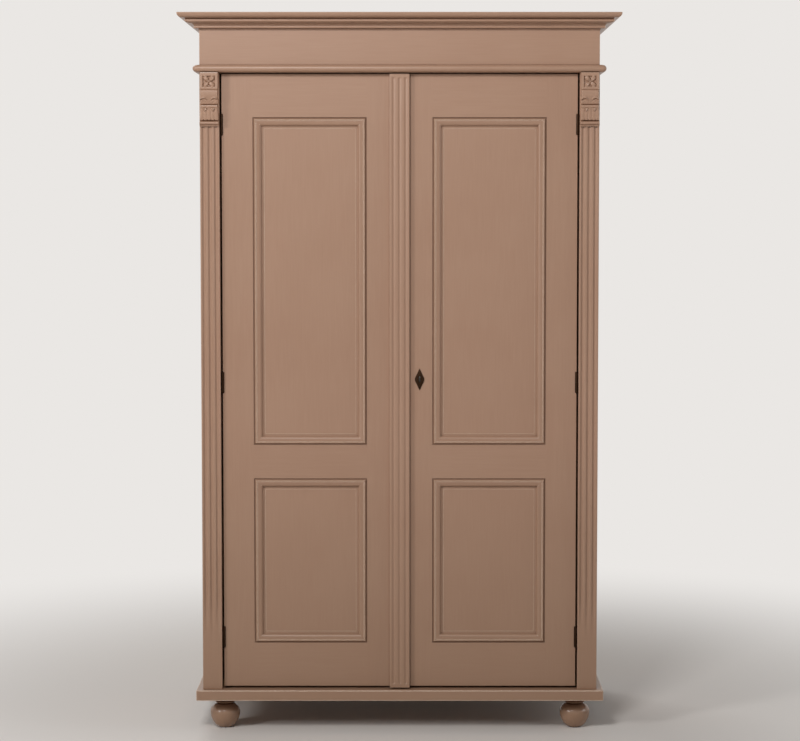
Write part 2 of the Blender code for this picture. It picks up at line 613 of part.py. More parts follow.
def add_hinge(name, side, z, metal, carcass, pivot):
    """One lift-off hinge: a half with the pin on the post, a half with the bore on the leaf."""
    place = (side * LEAF_OUTER_X, HINGE_AXIS_Y, z)
    half, gap = HINGE_HEIGHT / 2, KNUCKLE_GAP / 2
    post_face = side * (POST_INNER_X - FIT)
    leaf_face = side * (LEAF_OUTER_X + FIT)
    frame_half = add_piece(name + "_frame_half", turned(frame_half_profile(), SMALL_ROUND_STEPS), metal,
                           place, carcass, SMOOTH_DEGREES)
    frame_flap = add_board(name + ".frame_flap", (post_face, post_face - side * FLAP_THICKNESS),
                           (HINGE_AXIS_Y, DOOR_BACK_Y), (z - half + KNUCKLE_CHAMFER, z - gap), metal, carcass)
    combine(frame_half, frame_flap, "UNION")
    leaf_half = add_piece(name + "_leaf_half", turned(leaf_half_profile(), SMALL_ROUND_STEPS), metal, place,
                          pivot, SMOOTH_DEGREES)
    flap_start = HINGE_AXIS_Y + (BORE_DIAMETER + KNUCKLE_DIAMETER) / 4
    leaf_flap = add_board(name + ".leaf_flap", (leaf_face, leaf_face + side * FLAP_THICKNESS),
                          (flap_start, DOOR_BACK_Y), (z + gap, z + half - KNUCKLE_CHAMFER), metal, pivot)
    combine(leaf_half, leaf_flap, "UNION")


def cut_knuckle_notches(stile, side, finish, pivot):
    """Notches in a hinge stile's front corner, one round each knuckle."""
    room = KNUCKLE_DIAMETER / 2 + KNUCKLE_CLEARANCE
    for number, z in enumerate(hinge_heights()):
        reach = HINGE_HEIGHT / 2 + KNUCKLE_CLEARANCE
        notch = add_board(f"{stile.name}.notch_{number}",
                          (side * (LEAF_OUTER_X + OVERRUN), side * (LEAF_OUTER_X - room)),
                          (DOOR_FRONT_Y - OVERRUN, HINGE_AXIS_Y + room), (z - reach, z + reach), finish,
                          pivot)
        combine(stile, notch, "DIFFERENCE")


def add_hinges(side, name, stile, metal, finish, carcass, pivot):
    """The three hinges of a leaf and the notches that they sit in."""
    for position, z in zip(("bottom", "middle", "top"), hinge_heights()):
        add_hinge(f"{name}_{position}_hinge", side, z, metal, carcass, pivot)
    cut_knuckle_notches(stile, side, finish, pivot)


def add_centre_strip(finish, pivot):
    """The fluted strip on the left leaf that hides the line where the leaves meet."""
    bottom = LEAF_BOTTOM_Z - STRIP_DROP
    size = (STRIP_WIDTH, STRIP_THICKNESS - FIT, LEAF_TOP_Z - bottom)
    flutes_z = (bottom + FLUTE_STOP, LEAF_TOP_Z - FLUTE_STOP)
    front = DOOR_FRONT_Y - STRIP_THICKNESS
    add_fluted_board("centre_strip", 0, front, bottom, size, flutes_z, finish, pivot)


def keyhole_cutter(depth):
    """A keyhole, round above and slotted below, extruded along +y from y = 0."""
    eye, slot = KEYHOLE_EYE_DIAMETER / 2, KEYHOLE_SLOT_WIDTH / 2
    eye_z = KEYHOLE_HEIGHT / 2 - eye
    side_angle = math.degrees(math.asin(slot / eye))
    round_eye = arc((0, eye_z), (eye, eye), side_angle - 90, 270 - side_angle, 2 * ARC_STEPS)
    outline = [(slot, -KEYHOLE_HEIGHT / 2), *round_eye, (-slot, -KEYHOLE_HEIGHT / 2)]
    return grow([[(x, y, z) for x, z in outline] for y in (0, depth)])


def add_lock(meeting_stile, metal, dark_metal, pivot, bolt_slide):
    """Escutcheon, keyhole, lock case and sliding bolt of the right leaf."""
    x = RIGHT_LEAF_EDGE_X + LOCK_BACKSET
    plate_front = DOOR_FRONT_Y - FIT - ESCUTCHEON_THICKNESS
    half_width, half_height, flat = ESCUTCHEON_WIDTH / 2, ESCUTCHEON_HEIGHT / 2, ESCUTCHEON_FLAT / 2
    lozenge = [(0, -half_height), (half_width, -flat), (half_width, flat), (0, half_height),
               (-half_width, flat), (-half_width, -flat)]
    plate = grow([[(across, y, up) for across, up in lozenge] for y in (0, ESCUTCHEON_THICKNESS)])
    escutcheon = add_piece("escutcheon", plate, dark_metal, (x, plate_front, LOCK_CENTRE_HEIGHT), pivot)
    start = plate_front - OVERRUN
    keyhole = add_piece("escutcheon.keyhole", keyhole_cutter(DOOR_BACK_Y + OVERRUN - start), dark_metal,
                        (x, start, LOCK_CENTRE_HEIGHT), pivot)
    combine(escutcheon, keyhole, "DIFFERENCE")
    combine(meeting_stile, keyhole, "DIFFERENCE")
    case_x, case_y = (LOCK_X, LOCK_X + LOCK_WIDTH), (DOOR_BACK_Y + FIT, DOOR_BACK_Y + FIT + LOCK_DEPTH)
    case_z = (LOCK_CENTRE_HEIGHT - LOCK_HEIGHT / 2, LOCK_CENTRE_HEIGHT + LOCK_HEIGHT / 2)
    case = add_board("lock_case", case_x, case_y, case_z, metal, pivot)
    hollow_x = (case_x[0] + LOCK_WALL, case_x[1] - LOCK_WALL)
    hollow_z = (case_z[0] + LOCK_WALL, case_z[1] - LOCK_WALL)
    hollow = add_board("lock_case.hollow", hollow_x, (DOOR_BACK_Y - OVERRUN, case_y[1] - LOCK_WALL), hollow_z,
                       metal, pivot)
    combine(case, hollow, "DIFFERENCE")
    bolt_y = (BOLT_FRONT_Y, BOLT_FRONT_Y + BOLT_THICKNESS)
    bolt_middle = LOCK_CENTRE_HEIGHT + BOLT_RISE
    bolt_z = (bolt_middle - BOLT_HEIGHT / 2, bolt_middle + BOLT_HEIGHT / 2)
    slot = add_board("lock_case.slot", (case_x[0] - OVERRUN, case_x[0] + LOCK_WALL + OVERRUN),
                     (bolt_y[0] - BOLT_CLEARANCE, bolt_y[1] + BOLT_CLEARANCE),
                     (bolt_z[0] - BOLT_CLEARANCE, bolt_z[1] + BOLT_CLEARANCE), metal, pivot)
    combine(case, slot, "DIFFERENCE")
    bolt_x = LOCK_X + BOLT_SETBACK
    add_board("lock_bolt", (bolt_x, bolt_x + BOLT_LENGTH), bolt_y, bolt_z, metal, bolt_slide)


def main():
    """Build the wardrobe."""
    clear_scene()
    paint = make_finish("painted_wood", (0.352, 0.246, 0.178), 0.55)
    pine = make_finish("waxed_pine", (0.503, 0.323, 0.160), 0.60)
    iron = make_finish("blackened_iron", (0.020, 0.014, 0.011), 0.45, 0.8)
    steel = make_finish("lock_steel", (0.260, 0.250, 0.240), 0.40, 1.0)
    carcass = make_carrier("carcass", (0, 0, 0))
    left_pivot = make_carrier("left_door_pivot", (-LEAF_OUTER_X, HINGE_AXIS_Y, LEAF_BOTTOM_Z))
    right_pivot = make_carrier("right_door_pivot", (LEAF_OUTER_X, HINGE_AXIS_Y, LEAF_BOTTOM_Z))
    bolt_slide = make_carrier("lock_bolt_slide", (LOCK_X, BOLT_FRONT_Y, LOCK_CENTRE_HEIGHT + BOLT_RISE))
    add_carcass(paint, pine, carcass)
    add_crown(paint, pine, carcass)
    add_posts_and_corbels(paint, carcass)
    add_interior(pine, carcass)
    left_stile, _ = add_leaf(LEFT, "left", STRIP_WIDTH / 2, paint, left_pivot)
    add_centre_strip(paint, left_pivot)
    add_hinges(LEFT, "left", left_stile, iron, paint, carcass, left_pivot)
    right_stile, meeting_stile = add_leaf(RIGHT, "right", RIGHT_LEAF_EDGE_X, paint, right_pivot)
    add_hinges(RIGHT, "right", right_stile, iron, paint, carcass, right_pivot)
    add_lock(meeting_stile, steel, iron, right_pivot, bolt_slide)


main()
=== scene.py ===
"""Looks of the painted two-door wardrobe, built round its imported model.

The wardrobe is pine under a satin taupe wood paint outside and left waxed inside, with blackened iron hinges
and a steel rim lock. Every length is in metres, +Z is up and the doors face -Y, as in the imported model.
"""

from __future__ import annotations

import logging
import math
from abc import ABC, abstractmethod
from collections.abc import Callable, Mapping, Sequence
from dataclasses import dataclass
from enum import Enum
from typing import Any, ClassVar, NamedTuple

import bmesh
import bpy
from mathutils import Matrix, Vector

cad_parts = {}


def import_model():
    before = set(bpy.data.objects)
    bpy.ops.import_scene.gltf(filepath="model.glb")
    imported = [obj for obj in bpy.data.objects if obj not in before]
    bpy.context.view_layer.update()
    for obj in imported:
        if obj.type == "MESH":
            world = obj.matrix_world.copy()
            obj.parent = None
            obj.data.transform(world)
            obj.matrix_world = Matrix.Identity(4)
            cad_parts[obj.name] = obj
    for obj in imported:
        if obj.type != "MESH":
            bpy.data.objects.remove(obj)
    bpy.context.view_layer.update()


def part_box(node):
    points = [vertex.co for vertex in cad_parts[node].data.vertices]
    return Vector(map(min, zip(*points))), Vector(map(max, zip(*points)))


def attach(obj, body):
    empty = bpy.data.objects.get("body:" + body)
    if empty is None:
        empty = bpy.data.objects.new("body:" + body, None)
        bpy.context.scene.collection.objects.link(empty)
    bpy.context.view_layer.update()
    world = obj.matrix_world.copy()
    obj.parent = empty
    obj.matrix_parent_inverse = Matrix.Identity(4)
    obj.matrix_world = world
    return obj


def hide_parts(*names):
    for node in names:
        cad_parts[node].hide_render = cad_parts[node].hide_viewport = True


LOG = logging.getLogger("wardrobe")
MERGE_DISTANCE = 0.00002
OVERCUT = 0.01
Pair = tuple[float, float]
Triple = tuple[float, float, float]
Profile = Sequence[Pair]
# Middle and radii of an ellipse, then the first and last angle of the arc in degrees
Bend = tuple[Pair, Pair, float, float]


class Option(Enum):
    """An option whose name is also part of the names of nodes and materials."""

    @property
    def word(self) -> str:
        """The option's name in lower case."""
        return self.name.lower()


class Side(Option):
    """The two sides of the wardrobe, as someone who faces it sees them."""

    LEFT = -1
    RIGHT = 1


class Grain(Option):
    """Which way a board's fibres and brush strokes run: the pattern is drawn out along that axis."""

    UPRIGHT = (1.0, 1.0, 0.04)
    ACROSS = (0.04, 1.0, 1.0)
    DEEP = (1.0, 0.04, 1.0)


def linear(code: str) -> tuple[float, float, float, float]:
    """Turn an sRGB hex colour into a linear one.

    Args:
        code: Six hex digits after a number sign.

    Returns:
        Linear red, green, blue and an alpha of one.
    """
    values = [int(code[start:start + 2], 16) / 255 for start in (1, 3, 5)]
    red, green, blue = [v / 12.92 if v <= 0.04045 else ((v + 0.055) / 1.055) ** 2.4 for v in values]
    return red, green, blue, 1.0


def add_node(tree: bpy.types.NodeTree, kind: str, inputs: Mapping[str | int, Any] | Sequence[Any] = (),
             **settings: Any) -> bpy.types.Node:
    """Add one shader node with its settings, values and links.

    Args:
        tree: The node tree that gets the node.
        kind: The node type without its ShaderNode prefix.
        inputs: Values to set or output sockets to link, by socket name or number, or in the sockets' order.
        **settings: Properties of the node itself.

    Returns:
        The new node.
    """
    node = tree.nodes.new("ShaderNode" + kind)
    for name, value in settings.items():
        setattr(node, name, value)
    for socket, value in inputs.items() if isinstance(inputs, Mapping) else enumerate(inputs):
        if isinstance(value, bpy.types.NodeSocket):
            tree.links.new(value, node.inputs[socket])
        else:
            node.inputs[socket].default_value = value
    return node


def to_mesh(shape: bmesh.types.BMesh, name: str) -> bpy.types.Mesh:
    """Turn a bmesh into a mesh.

    Args:
        shape: The bmesh, which is freed.
        name: The mesh's name.

    Returns:
        The mesh.
    """
    mesh = bpy.data.meshes.new(name)
    shape.to_mesh(mesh)
    shape.free()
    return mesh


def add_object(name: str, data: bpy.types.ID) -> bpy.types.Object:
    """Add an object to the scene.

    Args:
        name: Its name.
        data: Its mesh, light or camera.

    Returns:
        The object.
    """
    item = bpy.data.objects.new(name, data)
    bpy.context.scene.collection.objects.link(item)
    return item


def arc(middle: Pair, radii: Pair, start: float, end: float, steps: int) -> list[Pair]:
    """Work out the points of an elliptic arc.

    Args:
        middle: Middle of the ellipse.
        radii: Its two radii.
        start: First angle in degrees.
        end: Last angle in degrees.
        steps: How many steps lie between them.

    Returns:
        The arc's points, its two ends included.
    """
    angles = [math.radians(start + (end - start) * number / steps) for number in range(steps + 1)]
    return [(middle[0] + radii[0] * math.cos(a), middle[1] + radii[1] * math.sin(a)) for a in angles]


def smooth_step(low: float, high: float, value: float) -> float:
    """Blend from 0 at low to 1 at high with level ends.

    Args:
        low: Value that gives 0.
        high: Value that gives 1.
        value: The value to place between them.

    Returns:
        A share from 0 to 1.
    """
    share = min(1.0, max(0.0, (value - low) / (high - low)))
    return share * share * (3 - 2 * share)


class Patterns(NamedTuple):
    """What a finish's nodes work out: colours over its first one, each with its share, sheen and relief."""

    layers: Sequence[tuple[bpy.types.NodeSocket, str]]
    sheen: bpy.types.NodeSocket
    relief: bpy.types.NodeSocket


class Finish(ABC):
    """A finish in the wardrobe's own coordinates: colours one over another, an uneven sheen and a relief."""

    name: str
    colour: str
    roughness: float
    sheen_spread: Pair
    relief_strength: float
    relief_height: float
    shader_values: ClassVar[Mapping[str, float]] = {}

    @abstractmethod
    def patterns(self, tree: bpy.types.NodeTree, place: bpy.types.NodeSocket) -> Patterns:
        """Add the nodes that work out the finish's patterns.

        Args:
            tree: The material's node tree.
            place: The socket that gives the place on the piece.

        Returns:
            What the nodes work out.
        """

    @staticmethod
    def streaks(tree: bpy.types.NodeTree, place: bpy.types.NodeSocket, grain: Grain, width: float,
                detail: float) -> bpy.types.NodeSocket:
        """Add a noise drawn out along the grain, for brush strokes, fibres and the lines of drawn metal.

        Args:
            tree: The material's node tree.
            place: The socket that gives the place on the piece.
            grain: Which way it is drawn out.
            width: How wide a streak is.
            detail: How many finer noises lie on it.

        Returns:
            The socket that gives the noise.
        """
        scale = [share / width for share in grain.value]
        along = add_node(tree, "Mapping", {"Vector": place, "Scale": scale}).outputs[0]
        return add_node(tree, "TexNoise", {"Vector": along, "Scale": 1.0, "Detail": detail}).outputs[0]

    def build(self) -> bpy.types.Material:
        """Make the node material.

        Returns:
            The material.
        """
        material = bpy.data.materials.new(self.name)
        material.use_nodes = True
        tree = material.node_tree
        found = self.patterns(tree, add_node(tree, "TexCoord").outputs["Object"])
        colour = linear(self.colour)
        for share, over in found.layers:
            colour = add_node(tree, "Mix", {0: share, 6: colour, 7: linear(over)},
                              data_type="RGBA").outputs[2]
        ends = [self.roughness + spread for spread in self.sheen_spread]
        sheen = add_node(tree, "MapRange", (found.sheen, 0.0, 1.0, *ends)).outputs[0]
        relief = add_node(tree, "Bump", {"Height": found.relief, "Strength": self.relief_strength,
                                         "Distance": self.relief_height}).outputs[0]
        shader = tree.nodes["Principled BSDF"]
        for socket, value in (("Base Color", colour), ("Roughness", sheen), ("Normal", relief)):
            tree.links.new(value, shader.inputs[socket])
        for socket, value in self.shader_values.items():
            shader.inputs[socket].default_value = value
        return material


@dataclass(frozen=True)
class PaintedPine(Finish):
    """Satin waterborne wood paint, brushed over planed pine.

    It gives a soft even sheen, faint streaks along each board, edges paler from wear and from painted
    highlight, painted shade that darkens the quirks, and painted shade that darkens the paint towards the
    floor. Real brush strokes are finer than these, and would be too fine to show.
    """

    grain: Grain
    use: str = "boards"
    colour: str = "#A27F69"
    pale_colour: str = "#A6846E"
    pale_noise: Pair = (0.75, 1.25)
    stroke_width: float = 0.0035
    blotch_size: float = 0.22
    # Paler edge colour: partly paint wear, partly painted highlight
    edge_colour: str = "#C8AC97"
    edge_wear: float = 1.0
    edge_lean: Pair = (0.995, 0.88)
    edge_reach: float = 0.0013
    edge_room: float = 0.75
    # Painted shade: a darker colour where other surfaces are close, in quirks and corners
    quirk_colour: str = "#5A341A"
    quirk_share: float = 0.85
    quirk_room: Pair = (0.68, 0.12)
    quirk_reach: float = 0.008
    # Painted shade: the paint gets darker towards the floor, below the given height
    dusty_colour: str = "#7C624B"
    dusty_share: float = 0.5
    dusty_height: float = 0.80
    roughness: float = 0.36
    sheen_spread: Pair = (-0.02, 0.04)
    relief_strength: float = 0.5
    relief_height: float = 0.00006
    shader_values: ClassVar[Mapping[str, float]] = {"IOR": 1.46}

    @property
    def name(self) -> str:
        """The material's name: the paint, its use and the grain's direction."""
        return f"satin_paint_on_pine_{self.use}_{self.grain.word}"

    def patterns(self, tree: bpy.types.NodeTree, place: bpy.types.NodeSocket) -> Patterns:
        """Add the nodes of the strokes and blotches, the painted shade towards the floor, the pale edges of
        wear and painted highlight, and the painted shade in the quirks.

        Args:
            tree: The material's node tree.
            place: The socket that gives the place on the piece.

        Returns:
            What the nodes work out.
        """
        strokes = self.streaks(tree, place, self.grain, self.stroke_width, 3.0)
        blotches = add_node(tree, "TexNoise", {"Vector": place, "Scale": 1 / self.blotch_size,
                                               "Detail": 2.0}).outputs[0]
        both = add_node(tree, "Math", (strokes, blotches), operation="ADD").outputs[0]
        pale = add_node(tree, "MapRange", (both, *self.pale_noise)).outputs[0]
        # Painted shade that darkens the paint from a given height down to the floor
        height = add_node(tree, "SeparateXYZ", (place,)).outputs["Z"]
        painted_low_shade = add_node(tree, "MapRange", (height, self.dusty_height, 0.0, 0.0, self.dusty_share)).outputs[0]
        # Pale edges, partly paint wear and partly painted highlight: by how far a rounded normal leans from
        # the face's own, and only where nothing is close by
        rounded = add_node(tree, "Bevel", {"Radius": self.edge_reach}, samples=4).outputs[0]
        normal = add_node(tree, "NewGeometry").outputs["Normal"]
        lean = add_node(tree, "VectorMath", (rounded, normal), operation="DOT_PRODUCT").outputs["Value"]
        edge = add_node(tree, "MapRange", (lean, *self.edge_lean, 0.0, self.edge_wear)).outputs[0]
        room = add_node(tree, "AmbientOcclusion", {"Distance": self.quirk_reach}, samples=4).outputs["AO"]
        unoccluded = add_node(tree, "MapRange", (room, self.edge_room, 1.0)).outputs[0]
        wear_and_highlight = add_node(tree, "Math", (edge, unoccluded), operation="MULTIPLY").outputs[0]
        # Painted shade in the quirks and corners, by ambient occlusion
        deep = add_node(tree, "MapRange", (room, *self.quirk_room, 0.0, self.quirk_share)).outputs[0]
        layers = ((pale, self.pale_colour), (painted_low_shade, self.dusty_colour), (wear_and_highlight, self.edge_colour),
                  (deep, self.quirk_colour))
        return Patterns(layers, strokes, strokes)


@dataclass(frozen=True)
class WaxedPine(Finish):
    """Planed pine under clear wax.

    It gives a warm honey colour with darker late-wood lines along the board, a few brown knots that the lines
    bend round, painted shade where boards meet and other surfaces are close, and a low sheen.
    """

    grain: Grain
    colour: str = "#CBA77C"
    late_wood: str = "#A97E4E"
    late_power: float = 2.6
    ring_spacing: float = 0.011
    ring_lean: float = 0.6
    wander_scale: float = 14.0
    wander_rings: float = 9.0
    knot: str = "#6B4527"
    knot_spacing: float = 0.26
    knot_stretch: Pair = (0.35, 0.65)
    knot_rim: Pair = (0.085, 0.04)
    bend_reach: float = 0.28
    bend_rings: float = 1.6
    # Painted shade: a darker colour where boards meet and other surfaces are close
    grime: str = "#5E4630"
    grime_share: float = 0.85
    grime_room: Pair = (0.70, 0.25)
    grime_reach: float = 0.005
    fibre_width: float = 0.0012
    roughness: float = 0.5
    sheen_spread: Pair = (0.06, -0.06)
    relief_strength: float = 0.4
    relief_height: float = 0.0001

    @property
    def name(self) -> str:
        """The material's name: the wood and the grain's direction."""
        return "waxed_pine_" + self.grain.word

    def patterns(self, tree: bpy.types.NodeTree, place: bpy.types.NodeSocket) -> Patterns:
        """Add the nodes of the rings, the knots, the painted shade where surfaces are close and the fibres.

        Args:
            tree: The material's node tree.
            place: The socket that gives the place on the piece.

        Returns:
            What the nodes work out.
        """
        along = add_node(tree, "Mapping", {"Vector": place, "Scale": self.grain.value}).outputs[0]
        wander = add_node(tree, "TexNoise", {"Vector": along, "Scale": self.wander_scale,
                                             "Detail": 2.0}).outputs[0]
        # Knots lie far apart: cells as wide as their spacing, drawn out a little along the board
        least, more = self.knot_stretch
        cell_scale = [(least + more * share) / self.knot_spacing for share in self.grain.value]
        cells = add_node(tree, "Mapping", {"Vector": place, "Scale": cell_scale}).outputs[0]
        near = add_node(tree, "TexVoronoi", {"Vector": cells, "Scale": 1.0}).outputs["Distance"]
        bend = add_node(tree, "MapRange", (near, self.bend_reach, 0.0, 0.0, self.bend_rings)).outputs[0]
        waves = add_node(tree, "Math", (wander, self.wander_rings), operation="MULTIPLY").outputs[0]
        bent = add_node(tree, "Math", (waves, bend), operation="ADD").outputs[0]
        axes = add_node(tree, "SeparateXYZ", (along,)).outputs
        across, through = ("Y", "Z") if self.grain is Grain.ACROSS else ("X", "Y")
        phase, lean = [add_node(tree, "Math", (axes[axis], share / self.ring_spacing),
                                operation="MULTIPLY").outputs[0]
                       for axis, share in ((across, 1), (through, self.ring_lean))]
        for term in (lean, bent):
            phase = add_node(tree, "Math", (phase, term), operation="ADD").outputs[0]
        ring = add_node(tree, "Math", (phase,), operation="FRACT").outputs[0]
        # Pine's rings start pale, darken slowly and stop sharply
        late = add_node(tree, "Math", (ring, self.late_power), operation="POWER").outputs[0]
        heart = add_node(tree, "MapRange", (near, *self.knot_rim)).outputs[0]
        # Painted shade where boards meet and other surfaces are close, by ambient occlusion
        room = add_node(tree, "AmbientOcclusion", {"Distance": self.grime_reach}, samples=4).outputs["AO"]
        painted_corner_shade = add_node(tree, "MapRange", (room, *self.grime_room, 0.0, self.grime_share)).outputs[0]
        layers = ((late, self.late_wood), (heart, self.knot), (painted_corner_shade, self.grime))
        return Patterns(layers, late, self.streaks(tree, place, self.grain, self.fibre_width, 2.0))


@dataclass(frozen=True)
class BlackenedIron(Finish):
    """Wrought iron, oil-blackened: nearly black, with a brown cast where the finish has rubbed."""

    name: ClassVar[str] = "blackened_iron"
    colour: str = "#2C1E14"
    rubbed: str = "#453226"
    rubbed_noise: Pair = (0.45, 0.75)
    pit_size: float = 0.0016
    roughness: float = 0.46
    sheen_spread: Pair = (-0.08, 0.12)
    relief_strength: float = 0.5
    relief_height: float = 0.00015
    shader_values: ClassVar[Mapping[str, float]] = {"Metallic": 1.0}

    def patterns(self, tree: bpy.types.NodeTree, place: bpy.types.NodeSocket) -> Patterns:
        """Add the nodes of the pits.

        Args:
            tree: The material's node tree.
            place: The socket that gives the place on the piece.

        Returns:
            What the nodes work out.
        """
        pits = add_node(tree, "TexNoise", {"Vector": place, "Scale": 1 / self.pit_size,
                                           "Detail": 4.0}).outputs[0]
        share = add_node(tree, "MapRange", (pits, *self.rubbed_noise)).outputs[0]
        return Patterns(((share, self.rubbed),), pits, pits)


@dataclass(frozen=True)
class DrawnSteel(Finish):
    """Cold-drawn mild steel, dull with age: fine lines along the case and a grey, patchy sheen."""

    name: ClassVar[str] = "drawn_steel"
    colour: str = "#8E8A84"
    tarnish: str = "#6A645C"
    tarnish_noise: Pair = (0.4, 0.7)
    patch_scale: float = 70.0
    line_width: float = 0.0008
    roughness: float = 0.36
    sheen_spread: Pair = (-0.1, 0.14)
    relief_strength: float = 0.3
    relief_height: float = 0.00008
    shader_values: ClassVar[Mapping[str, float]] = {"Metallic": 1.0}

    def patterns(self, tree: bpy.types.NodeTree, place: bpy.types.NodeSocket) -> Patterns:
        """Add the nodes of the lines and the tarnish.

        Args:
            tree: The material's node tree.
            place: The socket that gives the place on the piece.

        Returns:
            What the nodes work out.
        """
        lines = self.streaks(tree, place, Grain.UPRIGHT, self.line_width, 2.0)
        patches = add_node(tree, "TexNoise", {"Vector": place, "Scale": self.patch_scale,
                                              "Detail": 3.0}).outputs[0]
        share = add_node(tree, "MapRange", (patches, *self.tarnish_noise)).outputs[0]
        return Patterns(((share, self.tarnish),), lines, lines)


class Palette:
    """All the finishes of the wardrobe, each made once."""

    def __init__(self) -> None:
        """Make the materials."""
        self.paint = {grain: PaintedPine(grain).build() for grain in Grain}
        # The leaves' frames are planed flush and painted over their joints; turned feet are rubbed smoother
        self.framed = {grain: PaintedPine(grain, "frames", edge_wear=0.0).build()
                       for grain in (Grain.UPRIGHT, Grain.ACROSS)}
        self.turned = PaintedPine(Grain.UPRIGHT, "turnings", roughness=0.22, edge_wear=0.0).build()
        # The mouldings take a darker copy of the paint, painted shade, and paler arrises, mostly painted
        # highlight with some wear
        self.moulded = PaintedPine(Grain.UPRIGHT, "mouldings", "#9C7A64", "#A17F69", edge_wear=2.6,
                                   edge_reach=0.0018, edge_room=0.80, edge_colour="#DCC5B1").build()
        # The base board's top arris is paler: a painted highlight, with some wear
        self.scuffed = PaintedPine(Grain.ACROSS, "base", edge_wear=2.6, edge_reach=0.0024, edge_room=0.4,
                                   edge_colour="#E6D2C0").build()
        self.pine = {grain: WaxedPine(grain).build() for grain in Grain}
        self.iron = BlackenedIron().build()
        self.steel = DrawnSteel().build()


class Workpiece:
    """A piece on the bench: a bmesh, and the operations that this wardrobe's pieces are made with."""

    # A face with more area per length of its rim than this is shaded flat: its eased edges can't tint it then
    broad_face: ClassVar[float] = 0.004

    def __init__(self) -> None:
        """Start with nothing on the bench."""
        self.shape = bmesh.new()

    def _take(self, part: bmesh.types.BMesh, matrix: Matrix | None = None) -> None:
        """Add one closed shell to the piece, its faces turned outwards.

        Args:
            part: The shell, which is freed.
            matrix: Where it goes.
        """
        bmesh.ops.remove_doubles(part, verts=part.verts[:], dist=MERGE_DISTANCE)
        if matrix is not None:
            bmesh.ops.transform(part, matrix=matrix, verts=part.verts[:])
        bmesh.ops.recalc_face_normals(part, faces=part.faces[:])
        mesh = to_mesh(part, "shell")
        self.shape.from_mesh(mesh)
        bpy.data.meshes.remove(mesh)

    def board(self, low: Sequence[float], high: Sequence[float], easing: float = 0.0,
              segments: int = 2) -> None:
        """Add a board between two corners.

        Args:
            low: Its lowest corner.
            high: Its highest corner.
            easing: How much its edges are rounded.
            segments: Facets of each rounding.
        """
        part = bmesh.new()
        low, high = Vector(low), Vector(high)
        matrix = Matrix.Translation((low + high) / 2) @ Matrix.Diagonal((*(high - low), 1.0))
        bmesh.ops.create_cube(part, size=1.0, matrix=matrix)
        if easing:
            bmesh.ops.bevel(part, geom=part.edges[:], offset=easing, offset_type="OFFSET", affect="EDGES",
                            segments=segments, profile=0.5, material=-1)
        self._take(part)

    def turn(self, profile: Profile, matrix: Matrix, steps: int = 48) -> None:
        """Add a shape turned round Z.

        Args:
            profile: Radius and height pairs that start and end on the axis.
            matrix: Where it goes.
            steps: Facets round the axis.
        """
        part = bmesh.new()
        verts = [part.verts.new((radius, 0.0, height)) for radius, height in profile]
        edges = [part.edges.new(pair) for pair in zip(verts, verts[1:])]
        bmesh.ops.spin(part, geom=[*verts, *edges], cent=(0, 0, 0), axis=(0, 0, 1), angle=math.tau,
                       steps=steps, use_merge=True)
        self._take(part, matrix)

    def sweep(self, outlines: Sequence[Sequence[Sequence[float]]], closed: bool = False) -> None:
        """Add a shape extruded through outlines of equal point count.

        Args:
            outlines: The outlines, in order.
            closed: Whether the last outline joins the first, as round a frame.
        """
        part = bmesh.new()
        stations = [*outlines, outlines[0]] if closed else list(outlines)
        first = [part.verts.new(point) for point in stations[0]]
        cap = part.faces.new(first)
        for outline in stations[1:]:
            cap = bmesh.ops.extrude_discrete_faces(part, faces=[cap])["faces"][0]
            for vert, point in zip(cap.verts, outline):
                vert.co = point
        if closed:
            bmesh.ops.delete(part, geom=[cap], context="FACES_ONLY")
        else:
            part.faces.new(reversed(first))
        self._take(part)

    def carve(self, low: Sequence[float], high: Sequence[float], columns: int, cuts: Sequence[float],
              relief: Callable[[float, float], float]) -> None:
        """Add a board whose front face is a grid that a relief pushes back or forwards.

        Args:
            low: Its lowest corner; the front face stands at this y before it is carved.
            high: Its highest corner.
            columns: Grid columns across x.
            cuts: Heights at which the grid is cut across.
            relief: How far the face is pushed back at an x and a z.
        """
        part = bmesh.new()
        low, high = Vector(low), Vector(high)
        size, middle = high - low, (low + high) / 2
        turn = Matrix.Rotation(math.radians(90), 4, "X") @ Matrix.Diagonal((size.x, size.z, 1, 1))
        flat = Matrix.Translation((middle.x, low.y, middle.z)) @ turn
        bmesh.ops.create_grid(part, x_segments=columns, y_segments=1, size=0.5, matrix=flat)
        for height in cuts:
            bmesh.ops.bisect_plane(part, geom=[*part.verts, *part.edges, *part.faces], dist=1e-7,
                                   plane_co=(0, 0, height), plane_no=(0, 0, 1))
        for vert in part.verts:
            vert.co.y = low.y + relief(vert.co.x, vert.co.z)
        rim = [edge for edge in part.edges if edge.is_boundary]
        walls = bmesh.ops.extrude_edge_only(part, edges=rim)["geom"]
        for vert in (item for item in walls if isinstance(item, bmesh.types.BMVert)):
            vert.co.y = high.y
        back = [item for item in walls if isinstance(item, bmesh.types.BMEdge) and item.is_boundary]
        bmesh.ops.contextual_create(part, geom=back)
        self._take(part)

    def cut(self, cutter: Workpiece) -> None:
        """Take another shape away from this one.

        Args:
            cutter: The shape to take away, which is used up.
        """
        bodies = [add_object(name, to_mesh(shape, name))
                  for name, shape in (("cut_body", self.shape), ("cut_tool", cutter.shape))]
        change = bodies[0].modifiers.new("cut", "BOOLEAN")
        change.operation, change.solver, change.object = "DIFFERENCE", "EXACT", bodies[1]
        graph = bpy.context.evaluated_depsgraph_get()
        result = bpy.data.meshes.new_from_object(bodies[0].evaluated_get(graph))
        self.shape = bmesh.new()
        self.shape.from_mesh(result)
        used = [result, *[body.data for body in bodies]]
        for body in bodies:
            bpy.data.objects.remove(body)
        for mesh in used:
            bpy.data.meshes.remove(mesh)

    def second_finish(self, test: Callable[[bmesh.types.BMFace], bool]) -> None:
        """Give some faces the piece's second material.

        Args:
            test: Tells which faces get it.
        """
        self.shape.normal_update()
        for face in self.shape.faces:
            if test(face):
                face.material_index = 1

